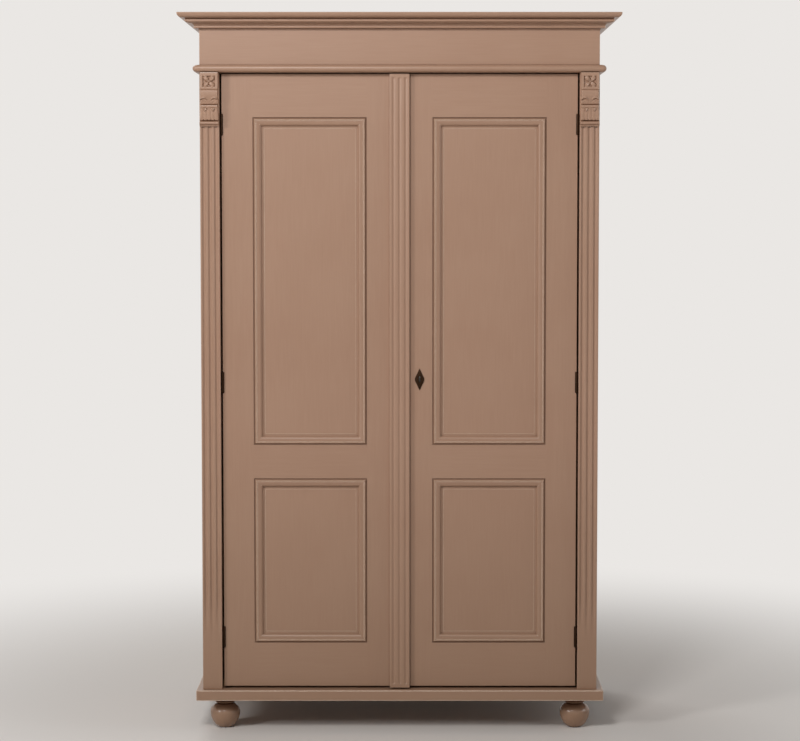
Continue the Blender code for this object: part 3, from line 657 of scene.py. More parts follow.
    def place(self, name: str, body: str, finishes: Sequence[bpy.types.Material], slot: str,
              nodes: Sequence[str], smooth_degrees: float = 32.0) -> None:
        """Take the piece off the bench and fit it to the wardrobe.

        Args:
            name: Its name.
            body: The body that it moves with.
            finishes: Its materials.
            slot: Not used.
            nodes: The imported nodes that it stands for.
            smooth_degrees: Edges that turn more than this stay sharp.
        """
        limit = math.radians(smooth_degrees)
        self.shape.normal_update()
        for face in self.shape.faces:
            face.smooth = True
            face.tag = face.calc_area() > self.broad_face * face.calc_perimeter()
        for edge in self.shape.edges:
            broad = any(face.tag for face in edge.link_faces)
            edge.smooth = edge.calc_face_angle(math.pi) < limit and not broad
        mesh = to_mesh(self.shape, name)
        for finish in finishes:
            mesh.materials.append(finish)
        piece = add_object(name, mesh)
        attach(piece, body)
        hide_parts(*nodes)
        LOG.info("%s: %d faces on %s", name, len(mesh.polygons), body)


@dataclass
class SubAssembly:
    """What every sub-assembly of the wardrobe has: the palette and the body that it moves with."""

    palette: Palette
    body: str = "carcass"
    screw_head_radius: ClassVar[float] = 0.0026
    screw_head_rise: ClassVar[float] = 0.0003
    screw_slot_half: ClassVar[float] = 0.16
    screw_top: ClassVar[float] = 0.9
    screw_steps: ClassVar[int] = 8

    def fit(self, work: Workpiece, name: str, node: str, finish: bpy.types.Material,
            slot: str = "painted_wood", smooth_degrees: float = 32.0) -> None:
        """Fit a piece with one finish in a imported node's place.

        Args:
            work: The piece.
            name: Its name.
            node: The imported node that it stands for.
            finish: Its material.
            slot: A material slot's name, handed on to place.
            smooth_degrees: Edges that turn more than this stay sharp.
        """
        work.place(name, self.body, [finish], slot, [node], smooth_degrees)

    def eased_board(self, node: str, grain: Grain, easing: float, painted: bool = True,
                    segments: int = 2) -> None:
        """Stand a board with rounded edges in a plain node's place.

        Args:
            node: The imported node.
            grain: Which way its fibres run.
            easing: How much its edges are rounded.
            painted: Whether it is painted, not waxed.
            segments: Facets of each rounding.
        """
        work = Workpiece()
        work.board(*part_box(node), easing=easing, segments=segments)
        if painted:
            self.fit(work, node + "_board", node, self.palette.paint[grain])
        else:
            self.fit(work, node + "_board", node, self.palette.pine[grain], "waxed_pine")

    def add_screw(self, work: Workpiece, place: Sequence[float], outward: Sequence[float]) -> None:
        """Add the head of a slotted countersunk screw to a piece.

        Args:
            work: The piece that the screw holds.
            place: Middle of the head, on the piece's face.
            outward: The way the head faces.
        """
        radius, rise, top = self.screw_head_radius, self.screw_head_rise, self.screw_top
        turn = Vector((0, 0, 1)).rotation_difference(Vector(outward)).to_matrix().to_4x4()
        matrix = Matrix.Translation(place) @ turn
        slot = radius * self.screw_slot_half
        start = math.degrees(math.asin(slot / radius))
        rim = arc((0, 0), (radius, radius), start, 180 - start, self.screw_steps)
        # The slot lies between two half discs, each a sweep of its outline
        for side in (-1, 1):
            low = [matrix @ Vector((x, side * y, -rise)) for x, y in rim]
            high = [matrix @ Vector((x * top, side * (slot + (y - slot) * top), rise)) for x, y in rim]
            work.sweep([low, high])


@dataclass
class Carcass(SubAssembly):
    """Sides, base board, top board, inside floor and back of the wardrobe's case."""

    board_easing: float = 0.0012
    inward_normal: float = 0.9
    base_corner_rounding: float = 0.0025
    base_top_chamfer: float = 0.0016
    base_foot_chamfer: float = 0.0010
    top_corner_rounding: float = 0.0090
    corner_steps: int = 6
    half_round_steps: int = 12
    back_board_count: int = 9
    back_board_chamfer: float = 0.0032

    def build(self) -> None:
        """Make every board of the case."""
        self._add_sides()
        self._add_base_board()
        self._add_top_board()
        self._add_back_boards()
        self.eased_board("floor_board", Grain.ACROSS, self.board_easing, painted=False)

    def _add_sides(self) -> None:
        """Make the two side boards, painted outside and waxed inside."""
        for side in Side:
            node = side.word + "_side"
            work = Workpiece()
            work.board(*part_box(node), easing=self.board_easing)
            work.second_finish(lambda face, sign=side.value: face.normal.x * sign < -self.inward_normal)
            finishes = [self.palette.paint[Grain.UPRIGHT], self.palette.pine[Grain.UPRIGHT]]
            work.place(node + "_board", self.body, finishes, "painted_wood", [node])

    def _edged(self, node: str, rounding: float, section: Profile) -> Workpiece:
        """Make a board with a shaped edge on its front and both sides, its front corners rounded.

        Args:
            node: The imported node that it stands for.
            rounding: Radius of its front corners.
            section: How far its edge stands back, and the height there, from the bottom up.

        Returns:
            The board.
        """
        low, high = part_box(node)
        radii = (rounding, rounding)
        outlines = []
        for inward, z in section:
            left, right, front = low.x + inward, high.x - inward, low.y + inward
            corners = [*arc((left + rounding, front + rounding), radii, 180, 270, self.corner_steps),
                       *arc((right - rounding, front + rounding), radii, 270, 360, self.corner_steps)]
            outlines.append([(x, y, z) for x, y in [(left, high.y), *corners, (right, high.y)]])
        work = Workpiece()
        work.sweep(outlines)
        return work

    def _add_base_board(self) -> None:
        """Make the base board, with its top and bottom arrises taken off."""
        low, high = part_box("base_board")
        foot, top = self.base_foot_chamfer, self.base_top_chamfer
        section = [(foot, low.z), (0.0, low.z + foot), (0.0, high.z - top), (top, high.z)]
        work = self._edged("base_board", self.base_corner_rounding, section)
        self.fit(work, "base_board_edged", "base_board", self.palette.scuffed)

    def _add_top_board(self) -> None:
        """Make the top board, whose edge is a full half-round."""
        low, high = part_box("carcass_top")
        radius = (high.z - low.z) / 2
        section = arc((radius, low.z + radius), (radius, radius), 270, 90, self.half_round_steps)
        work = self._edged("carcass_top", self.top_corner_rounding, section)
        self.fit(work, "half_round_top", "carcass_top", self.palette.paint[Grain.ACROSS])

    def _add_back_boards(self) -> None:
        """Make the back from upright boards with a V where each meets the next."""
        low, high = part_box("back_panel")
        width, chamfer = (high.x - low.x) / self.back_board_count, self.back_board_chamfer
        work = Workpiece()
        for number in range(self.back_board_count):
            left = low.x + number * width
            right = left + width
            front = [(left, low.y + chamfer), (left + chamfer, low.y), (right - chamfer, low.y),
                     (right, low.y + chamfer)]
            back = [(right, high.y - chamfer), (right - chamfer, high.y), (left + chamfer, high.y),
                    (left, high.y - chamfer)]
            work.sweep([[(x, y, z) for x, y in [*front, *back]] for z in (low.z, high.z)])
        self.fit(work, "back_boards", "back_panel", self.palette.pine[Grain.UPRIGHT], "waxed_pine", 20)


@dataclass
class Crown(SubAssembly):
    """Frieze boards, cornice moulding in three mitred lengths, and the dust board."""

    frieze_easing: float = 0.001
    arc_steps: int = 10
    top_edge: Profile = ((0.000, 1.000), (0.980, 1.000), (1.000, 0.980))
    quarter_round: Bend = ((0.795, 0.955), (0.205, 0.265), 0, -86)
    soffit: Profile = ((0.790, 0.688), (0.665, 0.680))
    upper_bead: Bend = ((0.565, 0.540), (0.090, 0.100), 64, -62)
    step: Profile = ((0.590, 0.440), (0.560, 0.428), (0.505, 0.420), (0.505, 0.405))
    cove: Bend = ((0.495, 0.265), (0.245, 0.130), 90, 180)
    fillet: Profile = ((0.250, 0.258), (0.235, 0.250))
    lower_bead: Bend = ((0.205, 0.175), (0.045, 0.068), 60, -75)
    foot: Profile = ((0.195, 0.100), (0.030, 0.092), (0.030, 0.000), (0.000, 0.000))

    def build(self) -> None:
        """Make the frieze, the cornice and the dust board."""
        for node, grain in (("frieze_front", Grain.ACROSS), ("frieze_left", Grain.DEEP),
                            ("frieze_right", Grain.DEEP)):
            self.eased_board(node, grain, self.frieze_easing)
        for node in ("frieze_back", "dust_board"):
            self.eased_board(node, Grain.ACROSS, self.frieze_easing, painted=False)
        self._add_cornice()

    def _section(self, projection: float, height: float) -> list[Pair]:
        """Section of the cornice.

        Args:
            projection: How far it stands out from the frieze.
            height: Its height.

        Returns:
            Pairs of the distance out from the frieze and the height over the cornice's foot.
        """
        curves = [arc(*shape, self.arc_steps)
                  for shape in (self.quarter_round, self.upper_bead, self.cove, self.lower_bead)]
        shares = [*self.top_edge, *curves[0], *self.soffit, *curves[1], *self.step, *curves[2], *self.fillet,
                  *curves[3], *self.foot]
        return [(out * projection, up * height) for out, up in shares]

    def _add_cornice(self) -> None:
        """Make the front length, mitred at both ends, and the two side lengths."""
        low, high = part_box("cornice_front")
        frieze_low, frieze_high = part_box("frieze_front")
        front = frieze_low.y
        section = self._section(front - low.y, high.z - low.z)
        mitres = [[(x + side.value * out, front - out, low.z + up) for out, up in section]
                  for side, x in zip(Side, (frieze_low.x, frieze_high.x))]
        lengths = [("cornice_front", Grain.ACROSS, mitres)]
        for side, mitre in zip(Side, mitres):
            node = "cornice_" + side.word
            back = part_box(node)[1].y
            lengths.append((node, Grain.DEEP, [mitre, [(x, back, z) for x, _, z in mitre]]))
        for node, grain, ends in lengths:
            work = Workpiece()
            work.sweep(ends)
            self.fit(work, node + "_length", node, self.palette.paint[grain])


@dataclass
class BunFeet(SubAssembly):
    """Four turned feet: a flat pad, a bun, a collar and a neck."""

    widest_height: float = 0.043
    crown_height: float = 0.025
    bun_radius: float = 0.040
    pad_radius: float = 0.017
    neck_radius: float = 0.016
    collar_radius: float = 0.0270
    collar_height: float = 0.006
    round_steps: int = 56
    bun_steps: tuple[int, int] = (16, 14)
    collar_steps: int = 12

    def build(self) -> None:
        """Make the four feet."""
        for end in ("front", "back"):
            for side in Side:
                self._add_foot(f"{end}_{side.word}_foot")

    def _add_foot(self, node: str) -> None:
        """Turn one foot.

        Args:
            node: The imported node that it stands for.
        """
        low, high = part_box(node)
        middle = (low + high) / 2
        pad_angle = math.degrees(math.acos(self.pad_radius / self.bun_radius))
        neck_angle = math.degrees(math.acos(self.neck_radius / self.bun_radius))
        reach = self.widest_height / math.sin(math.radians(pad_angle))
        widest, (below, above) = (0, self.widest_height), self.bun_steps
        bun = [*arc(widest, (self.bun_radius, reach), -pad_angle, 0, below),
               *arc(widest, (self.bun_radius, self.crown_height), 0, neck_angle, above)[1:]]
        collar_half = self.collar_height / 2
        ring = arc((self.neck_radius, bun[-1][1] + collar_half),
                   (self.collar_radius - self.neck_radius, collar_half), -90, 90, self.collar_steps)
        top = high.z - low.z
        profile = [(0, 0), (bun[0][0], 0), *bun[1:], *ring[1:], (self.neck_radius, top), (0, top)]
        work = Workpiece()
        work.turn(profile, Matrix.Translation((middle.x, middle.y, low.z)), self.round_steps)
        self.fit(work, node + "_turned", node, self.palette.turned)


@dataclass
class FlutedMember(SubAssembly):
    """An upright board with three stopped flutes: a front post, where they fade in, or the centre strip."""

    node: str = ""
    flute_foot: float = 0.009
    flute_head: float = 0.009
    foot_fade: float = 0.0
    flute_pitch: float = 0.016
    flute_width: float = 0.0105
    flute_depth: float = 0.0035
    softness: float = 0.0
    edge_rounding: float = 0.002
    column_width: float = 0.0008
    end_cuts: int = 9

    def build(self) -> None:
        """Carve the member."""
        low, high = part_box(self.node)
        middle, half = (low.x + high.x) / 2, (high.x - low.x) / 2
        foot, head, end = low.z + self.flute_foot, high.z - self.flute_head, self.flute_width / 2

        def relief(x: float, z: float) -> float:
            """Carving of the face at one point.

            Args:
                x: Where the point lies across the member.
                z: Its height.

            Returns:
                How far the face is cut back there.
            """
            over, depth = abs(x - middle) - (half - self.edge_rounding), 0.0
            if over > 0:
                depth = self.edge_rounding - math.sqrt(max(0.0, self.edge_rounding ** 2 - over ** 2))
            inside = min(z - foot, head - z)
            if inside <= 0:
                return depth
            share = smooth_step(foot, foot + self.foot_fade, z) if self.foot_fade else 1.0
            reach = end if inside >= end else math.sqrt(end ** 2 - (end - inside) ** 2)
            for number in (-1, 0, 1):
                off = abs(x - middle - number * self.flute_pitch)
                if off < reach:
                    bow = 1 - (off / reach) ** 2
                    depth = max(depth, share * self.flute_depth * reach / end * bow ** (1 + self.softness))
            return depth

        count = self.end_cuts
        steps = [end * (1 - math.cos(math.pi / 2 * number / count)) for number in range(count + 1)]
        cuts = [foot + step for step in steps]
        if self.foot_fade:
            cuts += [foot + end + self.foot_fade * number / count for number in range(1, count + 1)]
        cuts += [head - step for step in steps]
        work = Workpiece()
        work.carve(low, high, round((high.x - low.x) / self.column_width), cuts, relief)
        self.fit(work, self.node + "_carved", self.node, self.palette.paint[Grain.UPRIGHT])


@dataclass
class Corbel(SubAssembly):
    """A carved console on a post's head.

    From the top: a block with a four-petalled rosette, a ledge, an acanthus cup between two curls, a neck, a
    bell whose reeds end in rounded tongues, and an astragal.

    Each level gives a height, the projection there and the width, as shares of the corbel's own. Feet, heads
    and bands are shares of its height too. A curl's ridge has a rise and a width, and its hollow a depth, a
    width and a distance below the ridge.
    """

    node: str = ""
    foot_lift: float = 0.0025
    plate: float = 0.004
    projection: float = 0.018
    row_height: float = 0.0009
    column_width: float = 0.0008
    levels: Sequence[Triple] = (
        (0.000, 0.24, 0.97), (0.012, 0.24, 0.97), (0.022, 0.26, 0.97), (0.032, 0.50, 0.98),
        (0.042, 0.64, 0.985), (0.058, 0.70, 0.985), (0.074, 0.66, 0.98), (0.086, 0.56, 0.95),
        (0.096, 0.46, 0.92), (0.106, 0.48, 0.93), (0.118, 0.64, 0.95), (0.150, 0.68, 0.94),
        (0.220, 0.73, 0.92), (0.300, 0.77, 0.89), (0.336, 0.78, 0.87), (0.344, 0.83, 0.88),
        (0.352, 0.88, 0.88), (0.384, 0.88, 0.88), (0.391, 0.74, 0.87), (0.397, 0.44, 0.85),
        (0.406, 0.38, 0.82), (0.412, 0.54, 0.88), (0.440, 0.60, 0.91), (0.475, 0.68, 0.91),
        (0.510, 0.76, 0.90), (0.545, 0.84, 0.88), (0.575, 0.89, 0.87), (0.610, 0.90, 0.87),
        (0.655, 0.90, 0.87), (0.666, 0.86, 0.86), (0.672, 0.78, 0.86), (0.677, 0.72, 0.86),
        (0.683, 0.72, 0.87), (0.688, 0.80, 0.89), (0.694, 0.82, 0.90), (0.706, 0.82, 0.90),
        (0.713, 0.82, 0.90), (0.985, 0.82, 0.92), (1.000, 0.80, 0.92),
    )
    block_share: float = 0.713
    leaf_band: Pair = (0.41, 0.57)
    bell_band: Pair = (0.086, 0.345)
    rosette_share: float = 0.833
    rosette_half: Pair = (0.0172, 0.0150)
    rosette_depth: float = 0.0042
    rosette_slope: float = 0.0028
    petal_reach: float = 0.0104
    petal_length: float = 0.0086
    petal_width: float = 0.0062
    petal_rise: float = 0.0056
    bead_radius: float = 0.0036
    vein_share: float = 0.2
    curl_place: Pair = (0.0140, 0.530)
    curl_reach: float = 0.0080
    curl_sag: float = 0.0040
    curl_inner: Pair = (0.004, 0.009)
    curl_ridge: Pair = (0.0040, 0.0020)
    curl_hollow: Triple = (0.0010, 0.0016, 0.0042)
    fan_share: float = 0.34
    fan_foot: Pair = (0.42, 0.44)
    fan_head: Pair = (0.47, 0.50)
    fan_veins: int = 7
    fan_sharpness: float = 0.6
    fan_depth: float = 0.0010
    reed_count: int = 5
    reed_depth: float = 0.0011
    reed_head: Pair = (0.320, 0.338)
    tongue_share: float = 0.106
    tongue_bow: float = 0.028
    tongue_edge: Pair = (0.006, 0.004)
    gap_depth: float = 0.0034
    gap_foot: Pair = (0.092, 0.102)
    gap_head: float = 0.14
    tip_place: Pair = (0.0105, 0.262)
    tip_head: float = 0.336
    tip_half: float = 0.0052
    tip_slope: float = 0.0007
    tip_rise: Pair = (0.0020, 0.0014)
    flank: Pair = (0.0008, 0.0014)
    plate_arris: Pair = (0.0008, 0.25)

    def build(self) -> None:
        """Carve the corbel."""
        low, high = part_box(self.node)
        self._middle, self._half = (low.x + high.x) / 2, (high.x - low.x) / 2
        self._foot, self._height = low.z + self.foot_lift, high.z - low.z - self.foot_lift
        rows = round(self._height / self.row_height)
        cuts = [self._foot + self._height * number / rows for number in range(1, rows)]
        front = high.y - self.projection

        def relief(x: float, z: float) -> float:
            """How far behind the corbel's furthest point the face lies at one point."""
            return self.projection - self._rise(x - self._middle, (z - self._foot) / self._height)

        work = Workpiece()
        columns = round((high.x - low.x) / self.column_width)
        work.carve((low.x, front, self._foot), high, columns, cuts, relief)
        self.fit(work, self.node + "_carved", self.node, self.palette.paint[Grain.UPRIGHT], smooth_degrees=48)

    def _level(self, share: float) -> Pair:
        """Main form at one height.

        Args:
            share: Height as a share of the corbel's height.

        Returns:
            The projection, and half the width of the raised part.
        """
        for (low, out, wide), (high, next_out, next_wide) in zip(self.levels, self.levels[1:]):
            if share <= high:
                along = (share - low) / (high - low)
                return ((out + (next_out - out) * along) * self.projection,
                        (wide + (next_wide - wide) * along) * self._half)
        return self.levels[-1][1] * self.projection, self.levels[-1][2] * self._half

    def _rosette(self, x: float, z: float) -> float:
        """Carving of the block: a sunk field with four petals and a bead.

        Args:
            x: Distance from the corbel's middle line.
            z: Distance from the rosette's middle.

        Returns:
            How far the carving stands over the block's face, below it where negative.
        """
        to_edge = min(self.rosette_half[0] - abs(x), self.rosette_half[1] - abs(z))
        rise = -self.rosette_depth * smooth_step(0.0, self.rosette_slope, to_edge)
        along = (abs(x) + abs(z)) / math.sqrt(2)
        across = (abs(x) - abs(z)) / math.sqrt(2)
        petal = 1 - ((along - self.petal_reach) / self.petal_length) ** 2 - (across / self.petal_width) ** 2
        if petal > 0:
            vein = self.vein_share * math.exp(-(across / (self.petal_width * self.vein_share)) ** 2)
            rise += self.petal_rise * (math.sqrt(petal) - vein * petal)
        bead = 1 - (x * x + z * z) / self.bead_radius ** 2
        return rise + (self.bead_radius * math.sqrt(bead) if bead > 0 else 0)

    def _leaf(self, x: float, share: float) -> float:
        """Carving of the acanthus cup and the two leaf tips that curl over its shoulders.

        Args:
            x: Distance from the corbel's middle line.
            share: Height as a share of the corbel's height.

        Returns:
            How far the carving stands over the main form, below it where negative.
        """
        curl_x, curl_share = self.curl_place
        ridge, ridge_width = self.curl_ridge
        hollow, hollow_width, below = self.curl_hollow
        off = (abs(x) - curl_x) / self.curl_reach
        over = (share - curl_share) * self._height + self.curl_sag * off * off
        shown = smooth_step(*self.curl_inner, abs(x))
        rise = ridge * math.exp(-(over / ridge_width) ** 2) * shown
        rise -= hollow * math.exp(-((over + below) / hollow_width) ** 2) * shown
        fan = math.atan2(x, (share - self.fan_share) * self._height)
        veins = abs(math.cos(fan * self.fan_veins)) ** self.fan_sharpness - 1
        inside = smooth_step(*self.fan_foot, share) * (1 - smooth_step(*self.fan_head, share))
        return rise + self.fan_depth * veins * inside

    def _reeds(self, x: float, share: float, half: float) -> float:
        """Carving of the bell: reeds that fan out and end in rounded tongues.

        Args:
            x: Distance from the corbel's middle line.
            share: Height as a share of the corbel's height.
            half: Half the width of the bell there.

        Returns:
            How far the carving stands over the main form, below it where negative.
        """
        across = max(-1.0, min(1.0, x / half)) * self.reed_count / 2
        crest = math.sqrt(max(0.0, 1 - (2 * ((across + 0.5) % 1 - 0.5)) ** 2))
        tongue = self.tongue_share + self.tongue_bow * (1 - crest)
        full = smooth_step(tongue - self.tongue_edge[0], tongue + self.tongue_edge[1], share)
        rise = -self.reed_depth * (1 - crest) * full * (1 - smooth_step(*self.reed_head, share))
        if share < self.gap_head:
            rise -= self.gap_depth * (1 - full) * smooth_step(*self.gap_foot, share)
        tip_x, tip_share = self.tip_place
        off = abs(abs(x) - tip_x)
        reach = self.tip_half * (share - tip_share) / (self.tip_head - tip_share)
        leaf = smooth_step(0.0, self.tip_slope, reach - off) * (share < self.reed_head[1])
        keel = 1 - min(1.0, off / max(reach, 1e-6))
        return rise * (1 - leaf) + leaf * (self.tip_rise[0] + self.tip_rise[1] * (1 - keel))

    def _rise(self, x: float, share: float) -> float:
        """Whole relief of the corbel at one point.

        Args:
            x: Distance from the corbel's middle line.
            share: Height as a share of the corbel's height.

        Returns:
            How far the face stands before the post.
        """
        out, half = self._level(share)
        if share > self.block_share:
            out += self._rosette(x, (share - self.rosette_share) * self._height)
        elif self.leaf_band[0] < share < self.leaf_band[1]:
            out += self._leaf(x, share)
        elif self.bell_band[0] < share < self.bell_band[1]:
            out += self._reeds(x, share, half)
        flank = 1 - smooth_step(half - self.flank[0], half + self.flank[1], abs(x))
        arris, fall = self.plate_arris
        plate = self.plate * (1 - smooth_step(self._half - arris, self._half, abs(x)) * fall)
        return min(self.projection, max(plate, plate + (out - plate) * flank))


@dataclass
class DoorLeaf(SubAssembly):
    """One leaf: two stiles, three rails, two flat panels and their mitred mouldings."""

    side: Side = Side.LEFT
    edge_easing: float = 0.001
    easing_middle: float = 0.3
    panel_easing: float = 0.0003
    meeting_reach: float = 0.0008
    meeting_bevel: float = 0.0009
    meeting_easing: float = 0.0008
    meeting_steps: int = 5
    notch_room: float = 0.0004
    quirk: Profile = ((0.0, -0.0028), (0.0014, -0.0032))
    fillet: Profile = ((0.0050, 0.0017), (0.0058, 0.0028), (0.0088, 0.0028), (0.0094, 0.0018))
    fall: Bend = ((0.0096, -0.0066), (0.0132, 0.0084), 90, 25)
    lip: Profile = ((0.0234, -0.0089), (0.0242, -0.0090), (0.0250, -0.0086), (0.0268, -0.0086),
                    (0.0278, -0.0091), (0.0298, -0.0092))
    fall_steps: int = 10

    def build(self) -> None:
        """Make every piece of the leaf."""
        name = self.side.word
        self._add_hinge_stile()
        self._add_meeting_stile()
        for rail in ("bottom", "lock", "top"):
            self._add_rail(f"{name}_{rail}_rail")
        for height in ("lower", "upper"):
            self.eased_board(f"{name}_{height}_panel", Grain.UPRIGHT, self.panel_easing, segments=1)
            self._add_moulding(f"{name}_{height}_moulding")

    def _add_hinge_stile(self) -> None:
        """Make the stile that carries the hinges, with a notch in its front corner for each knuckle."""
        node = self.side.word + "_hinge_stile"
        low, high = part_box(node)
        sign = self.side.value
        outer, inner = (low.x, high.x) if self.side is Side.LEFT else (high.x, low.x)
        ease, room = self.edge_easing, HingeSet.knuckle_radius + self.notch_room
        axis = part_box(f"{self.side.word}_top_hinge_leaf_half")[0].y + HingeSet.knuckle_radius
        back = [(inner, low.y), (inner, high.y), (outer - sign * ease, high.y), (outer, high.y - ease)]
        middle = self.easing_middle
        plain = [*back, (outer, low.y + ease), (outer - sign * ease * middle, low.y + ease * middle),
                 (outer - sign * ease, low.y)]
        deep = outer - sign * room
        notch = [*back, (outer, axis + room), (deep, axis + room), (deep, low.y)]
        stations = [(plain, low.z)]
        for position in HingeSet.positions:
            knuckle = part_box(f"{self.side.word}_{position}_hinge_frame_half")[0].z
            start, end = knuckle - self.notch_room, knuckle + HingeSet.height + self.notch_room
            stations += [(plain, start), (notch, start), (notch, end), (plain, end)]
        stations.append((plain, high.z))
        work = Workpiece()
        work.sweep([[(x, y, z) for x, y in outline] for outline, z in stations])
        self.fit(work, node + "_board", node, self.palette.framed[Grain.UPRIGHT])

    def _add_meeting_stile(self) -> None:
        """Make the stile at the middle of the wardrobe, pierced by the keyhole on the right leaf."""
        node = self.side.word + "_meeting_stile"
        low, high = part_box(node)
        ease = self.edge_easing
        outer, inner = (high.x, low.x) if self.side is Side.LEFT else (low.x - self.meeting_reach, high.x)
        sign = 1 if outer > inner else -1
        # The right leaf's edge leans towards the strip at the front: the gap is closed, and it still opens
        front = self.meeting_easing
        edge = outer + sign * self.meeting_bevel if self.side is Side.RIGHT else outer
        rounding = [(edge - sign * (front - across), low.y + front + up)
                    for across, up in arc((0, 0), (front, front), 0, -90, self.meeting_steps)]
        outline = [(inner, low.y), (inner, high.y), (outer - sign * ease, high.y), (outer, high.y - ease),
                   *rounding]
        work = Workpiece()
        work.sweep([[(x, y, z) for x, y in outline] for z in (low.z, high.z)])
        if self.side is Side.RIGHT:
            work.cut(RimLock.keyhole_tool(low.y, high.y))
        self.fit(work, node + "_board", node, self.palette.framed[Grain.UPRIGHT])

    def _add_rail(self, node: str) -> None:
        """Make one cross member between the stiles; the paint hides its joints with them.

        Args:
            node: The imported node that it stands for.
        """
        low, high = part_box(node)
        stiles = [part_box(f"{self.side.word}_{stile}_stile") for stile in ("hinge", "meeting")]
        left = min(stiles[0][1].x, stiles[1][1].x)
        right = max(stiles[0][0].x, stiles[1][0].x)
        work = Workpiece()
        work.board((left, stiles[0][0].y, low.z), (right, stiles[0][1].y, high.z))
        self.fit(work, node + "_board", node, self.palette.framed[Grain.ACROSS])

    def _add_moulding(self, node: str) -> None:
        """Make the frame of moulding round one panel.

        Args:
            node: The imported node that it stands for.
        """
        low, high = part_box(node)
        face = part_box(self.side.word + "_lock_rail")[0].y
        floor = face - high.y
        section = [(0.0, floor), *self.quirk, *self.fillet, *arc(*self.fall, self.fall_steps), *self.lip,
                   (self.lip[-1][0], floor)]
        corners = ((low.x, low.z, 1, 1), (high.x, low.z, -1, 1), (high.x, high.z, -1, -1),
                   (low.x, high.z, 1, -1))
        work = Workpiece()
        work.sweep([[(x + to_x * inward, face - rise, z + to_z * inward) for inward, rise in section]
                    for x, z, to_x, to_z in corners], closed=True)
        self.fit(work, node + "_fine", node, self.palette.moulded)


@dataclass
class HingeSet(SubAssembly):
    """Three lift-off hinges of one leaf, each a half with the pin and a half with the bore."""

    side: Side = Side.LEFT
    leaf_body: str = "left_door"
    positions: ClassVar[Sequence[str]] = ("bottom", "middle", "top")
    knuckle_radius: ClassVar[float] = 0.00375
    height: ClassVar[float] = 0.055
    gap: float = 0.0005
    tip: float = 0.0014
    pin_radius: float = 0.002
    pin_length: float = 0.020
    bore_radius: float = 0.0024
    bore_depth: float = 0.022
    flap_thickness: float = 0.0015
    flap_easing: float = 0.0003
    flap_room: float = 0.0003
    screw_shares: Pair = (0.27, 0.73)
    tip_steps: int = 5
    round_steps: int = 28

    def build(self) -> None:
        """Make the six halves."""
        for position in self.positions:
            name = f"{self.side.word}_{position}_hinge"
            self._add_frame_half(name)
            self._add_leaf_half(name)

    def _axis(self, name: str) -> Vector:
        """Place of a hinge: on its axis, half way up.

        Args:
            name: The hinge's name.

        Returns:
            The place.
        """
        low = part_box(name + "_frame_half")[0]
        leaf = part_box(f"{self.side.word}_hinge_stile")
        x = leaf[0].x if self.side is Side.LEFT else leaf[1].x
        return Vector((x, low.y + self.knuckle_radius, low.z + self.height / 2))

    def _flap(self, work: Workpiece, node: str, face_x: float, toward: int, z: Pair, front: float) -> None:
        """Add a flap with two screws.

        Args:
            work: The hinge half.
            node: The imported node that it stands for.
            face_x: Where the flap lies on its board.
            toward: The way it faces along x.
            z: Its lowest and highest heights.
            front: Where it starts at the front.
        """
        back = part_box(node)[1].y
        outside = face_x + toward * self.flap_thickness
        left, right = sorted((face_x, outside))
        work.board((left, front, z[0]), (right, back, z[1]), easing=self.flap_easing, segments=1)
        for share in self.screw_shares:
            height = z[0] + (z[1] - z[0]) * share
            self.add_screw(work, (outside, (front + 2 * back) / 3, height), (toward, 0, 0))

    def _add_frame_half(self, name: str) -> None:
        """Make the lower half, which is fixed to the post and has the pin.

        Args:
            name: The hinge's name.
        """
        axis, node = self._axis(name), name + "_frame_half"
        radius, half, seat = self.knuckle_radius, self.height / 2, -self.gap / 2
        foot = arc((radius - self.tip, self.tip - half), (self.tip, self.tip), -90, 0, self.tip_steps)
        pin = [(self.pin_radius, seat), (self.pin_radius, self.pin_length), (0, self.pin_length)]
        work = Workpiece()
        work.turn([(0, -half), *foot, (radius, seat), *pin], Matrix.Translation(axis), self.round_steps)
        face_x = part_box(node)[0].x if self.side is Side.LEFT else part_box(node)[1].x
        self._flap(work, node, face_x, -self.side.value, (axis.z - half + self.tip, axis.z + seat), axis.y)
        self.fit(work, node + "_forged", node, self.palette.iron, "blackened_iron")

    def _add_leaf_half(self, name: str) -> None:
        """Make the upper half, which is fixed to the leaf and has the bore.

        Args:
            name: The hinge's name.
        """
        axis, node = self._axis(name), name + "_leaf_half"
        radius, half, seat = self.knuckle_radius, self.height / 2, self.gap / 2
        head = arc((radius - self.tip, half - self.tip), (self.tip, self.tip), 0, 90, self.tip_steps)
        bore = [(0, self.bore_depth), (self.bore_radius, self.bore_depth), (self.bore_radius, seat)]
        work = Workpiece()
        work.turn([*bore, (radius, seat), *head, (0, half)], Matrix.Translation(axis), self.round_steps)
        face_x = axis.x + self.side.value * self.flap_room
        front = axis.y + (self.bore_radius + radius) / 2
        self._flap(work, node, face_x, self.side.value, (axis.z + seat, axis.z + half - self.tip), front)
        work.place(node + "_forged", self.leaf_body, [self.palette.iron], "blackened_iron", [node])


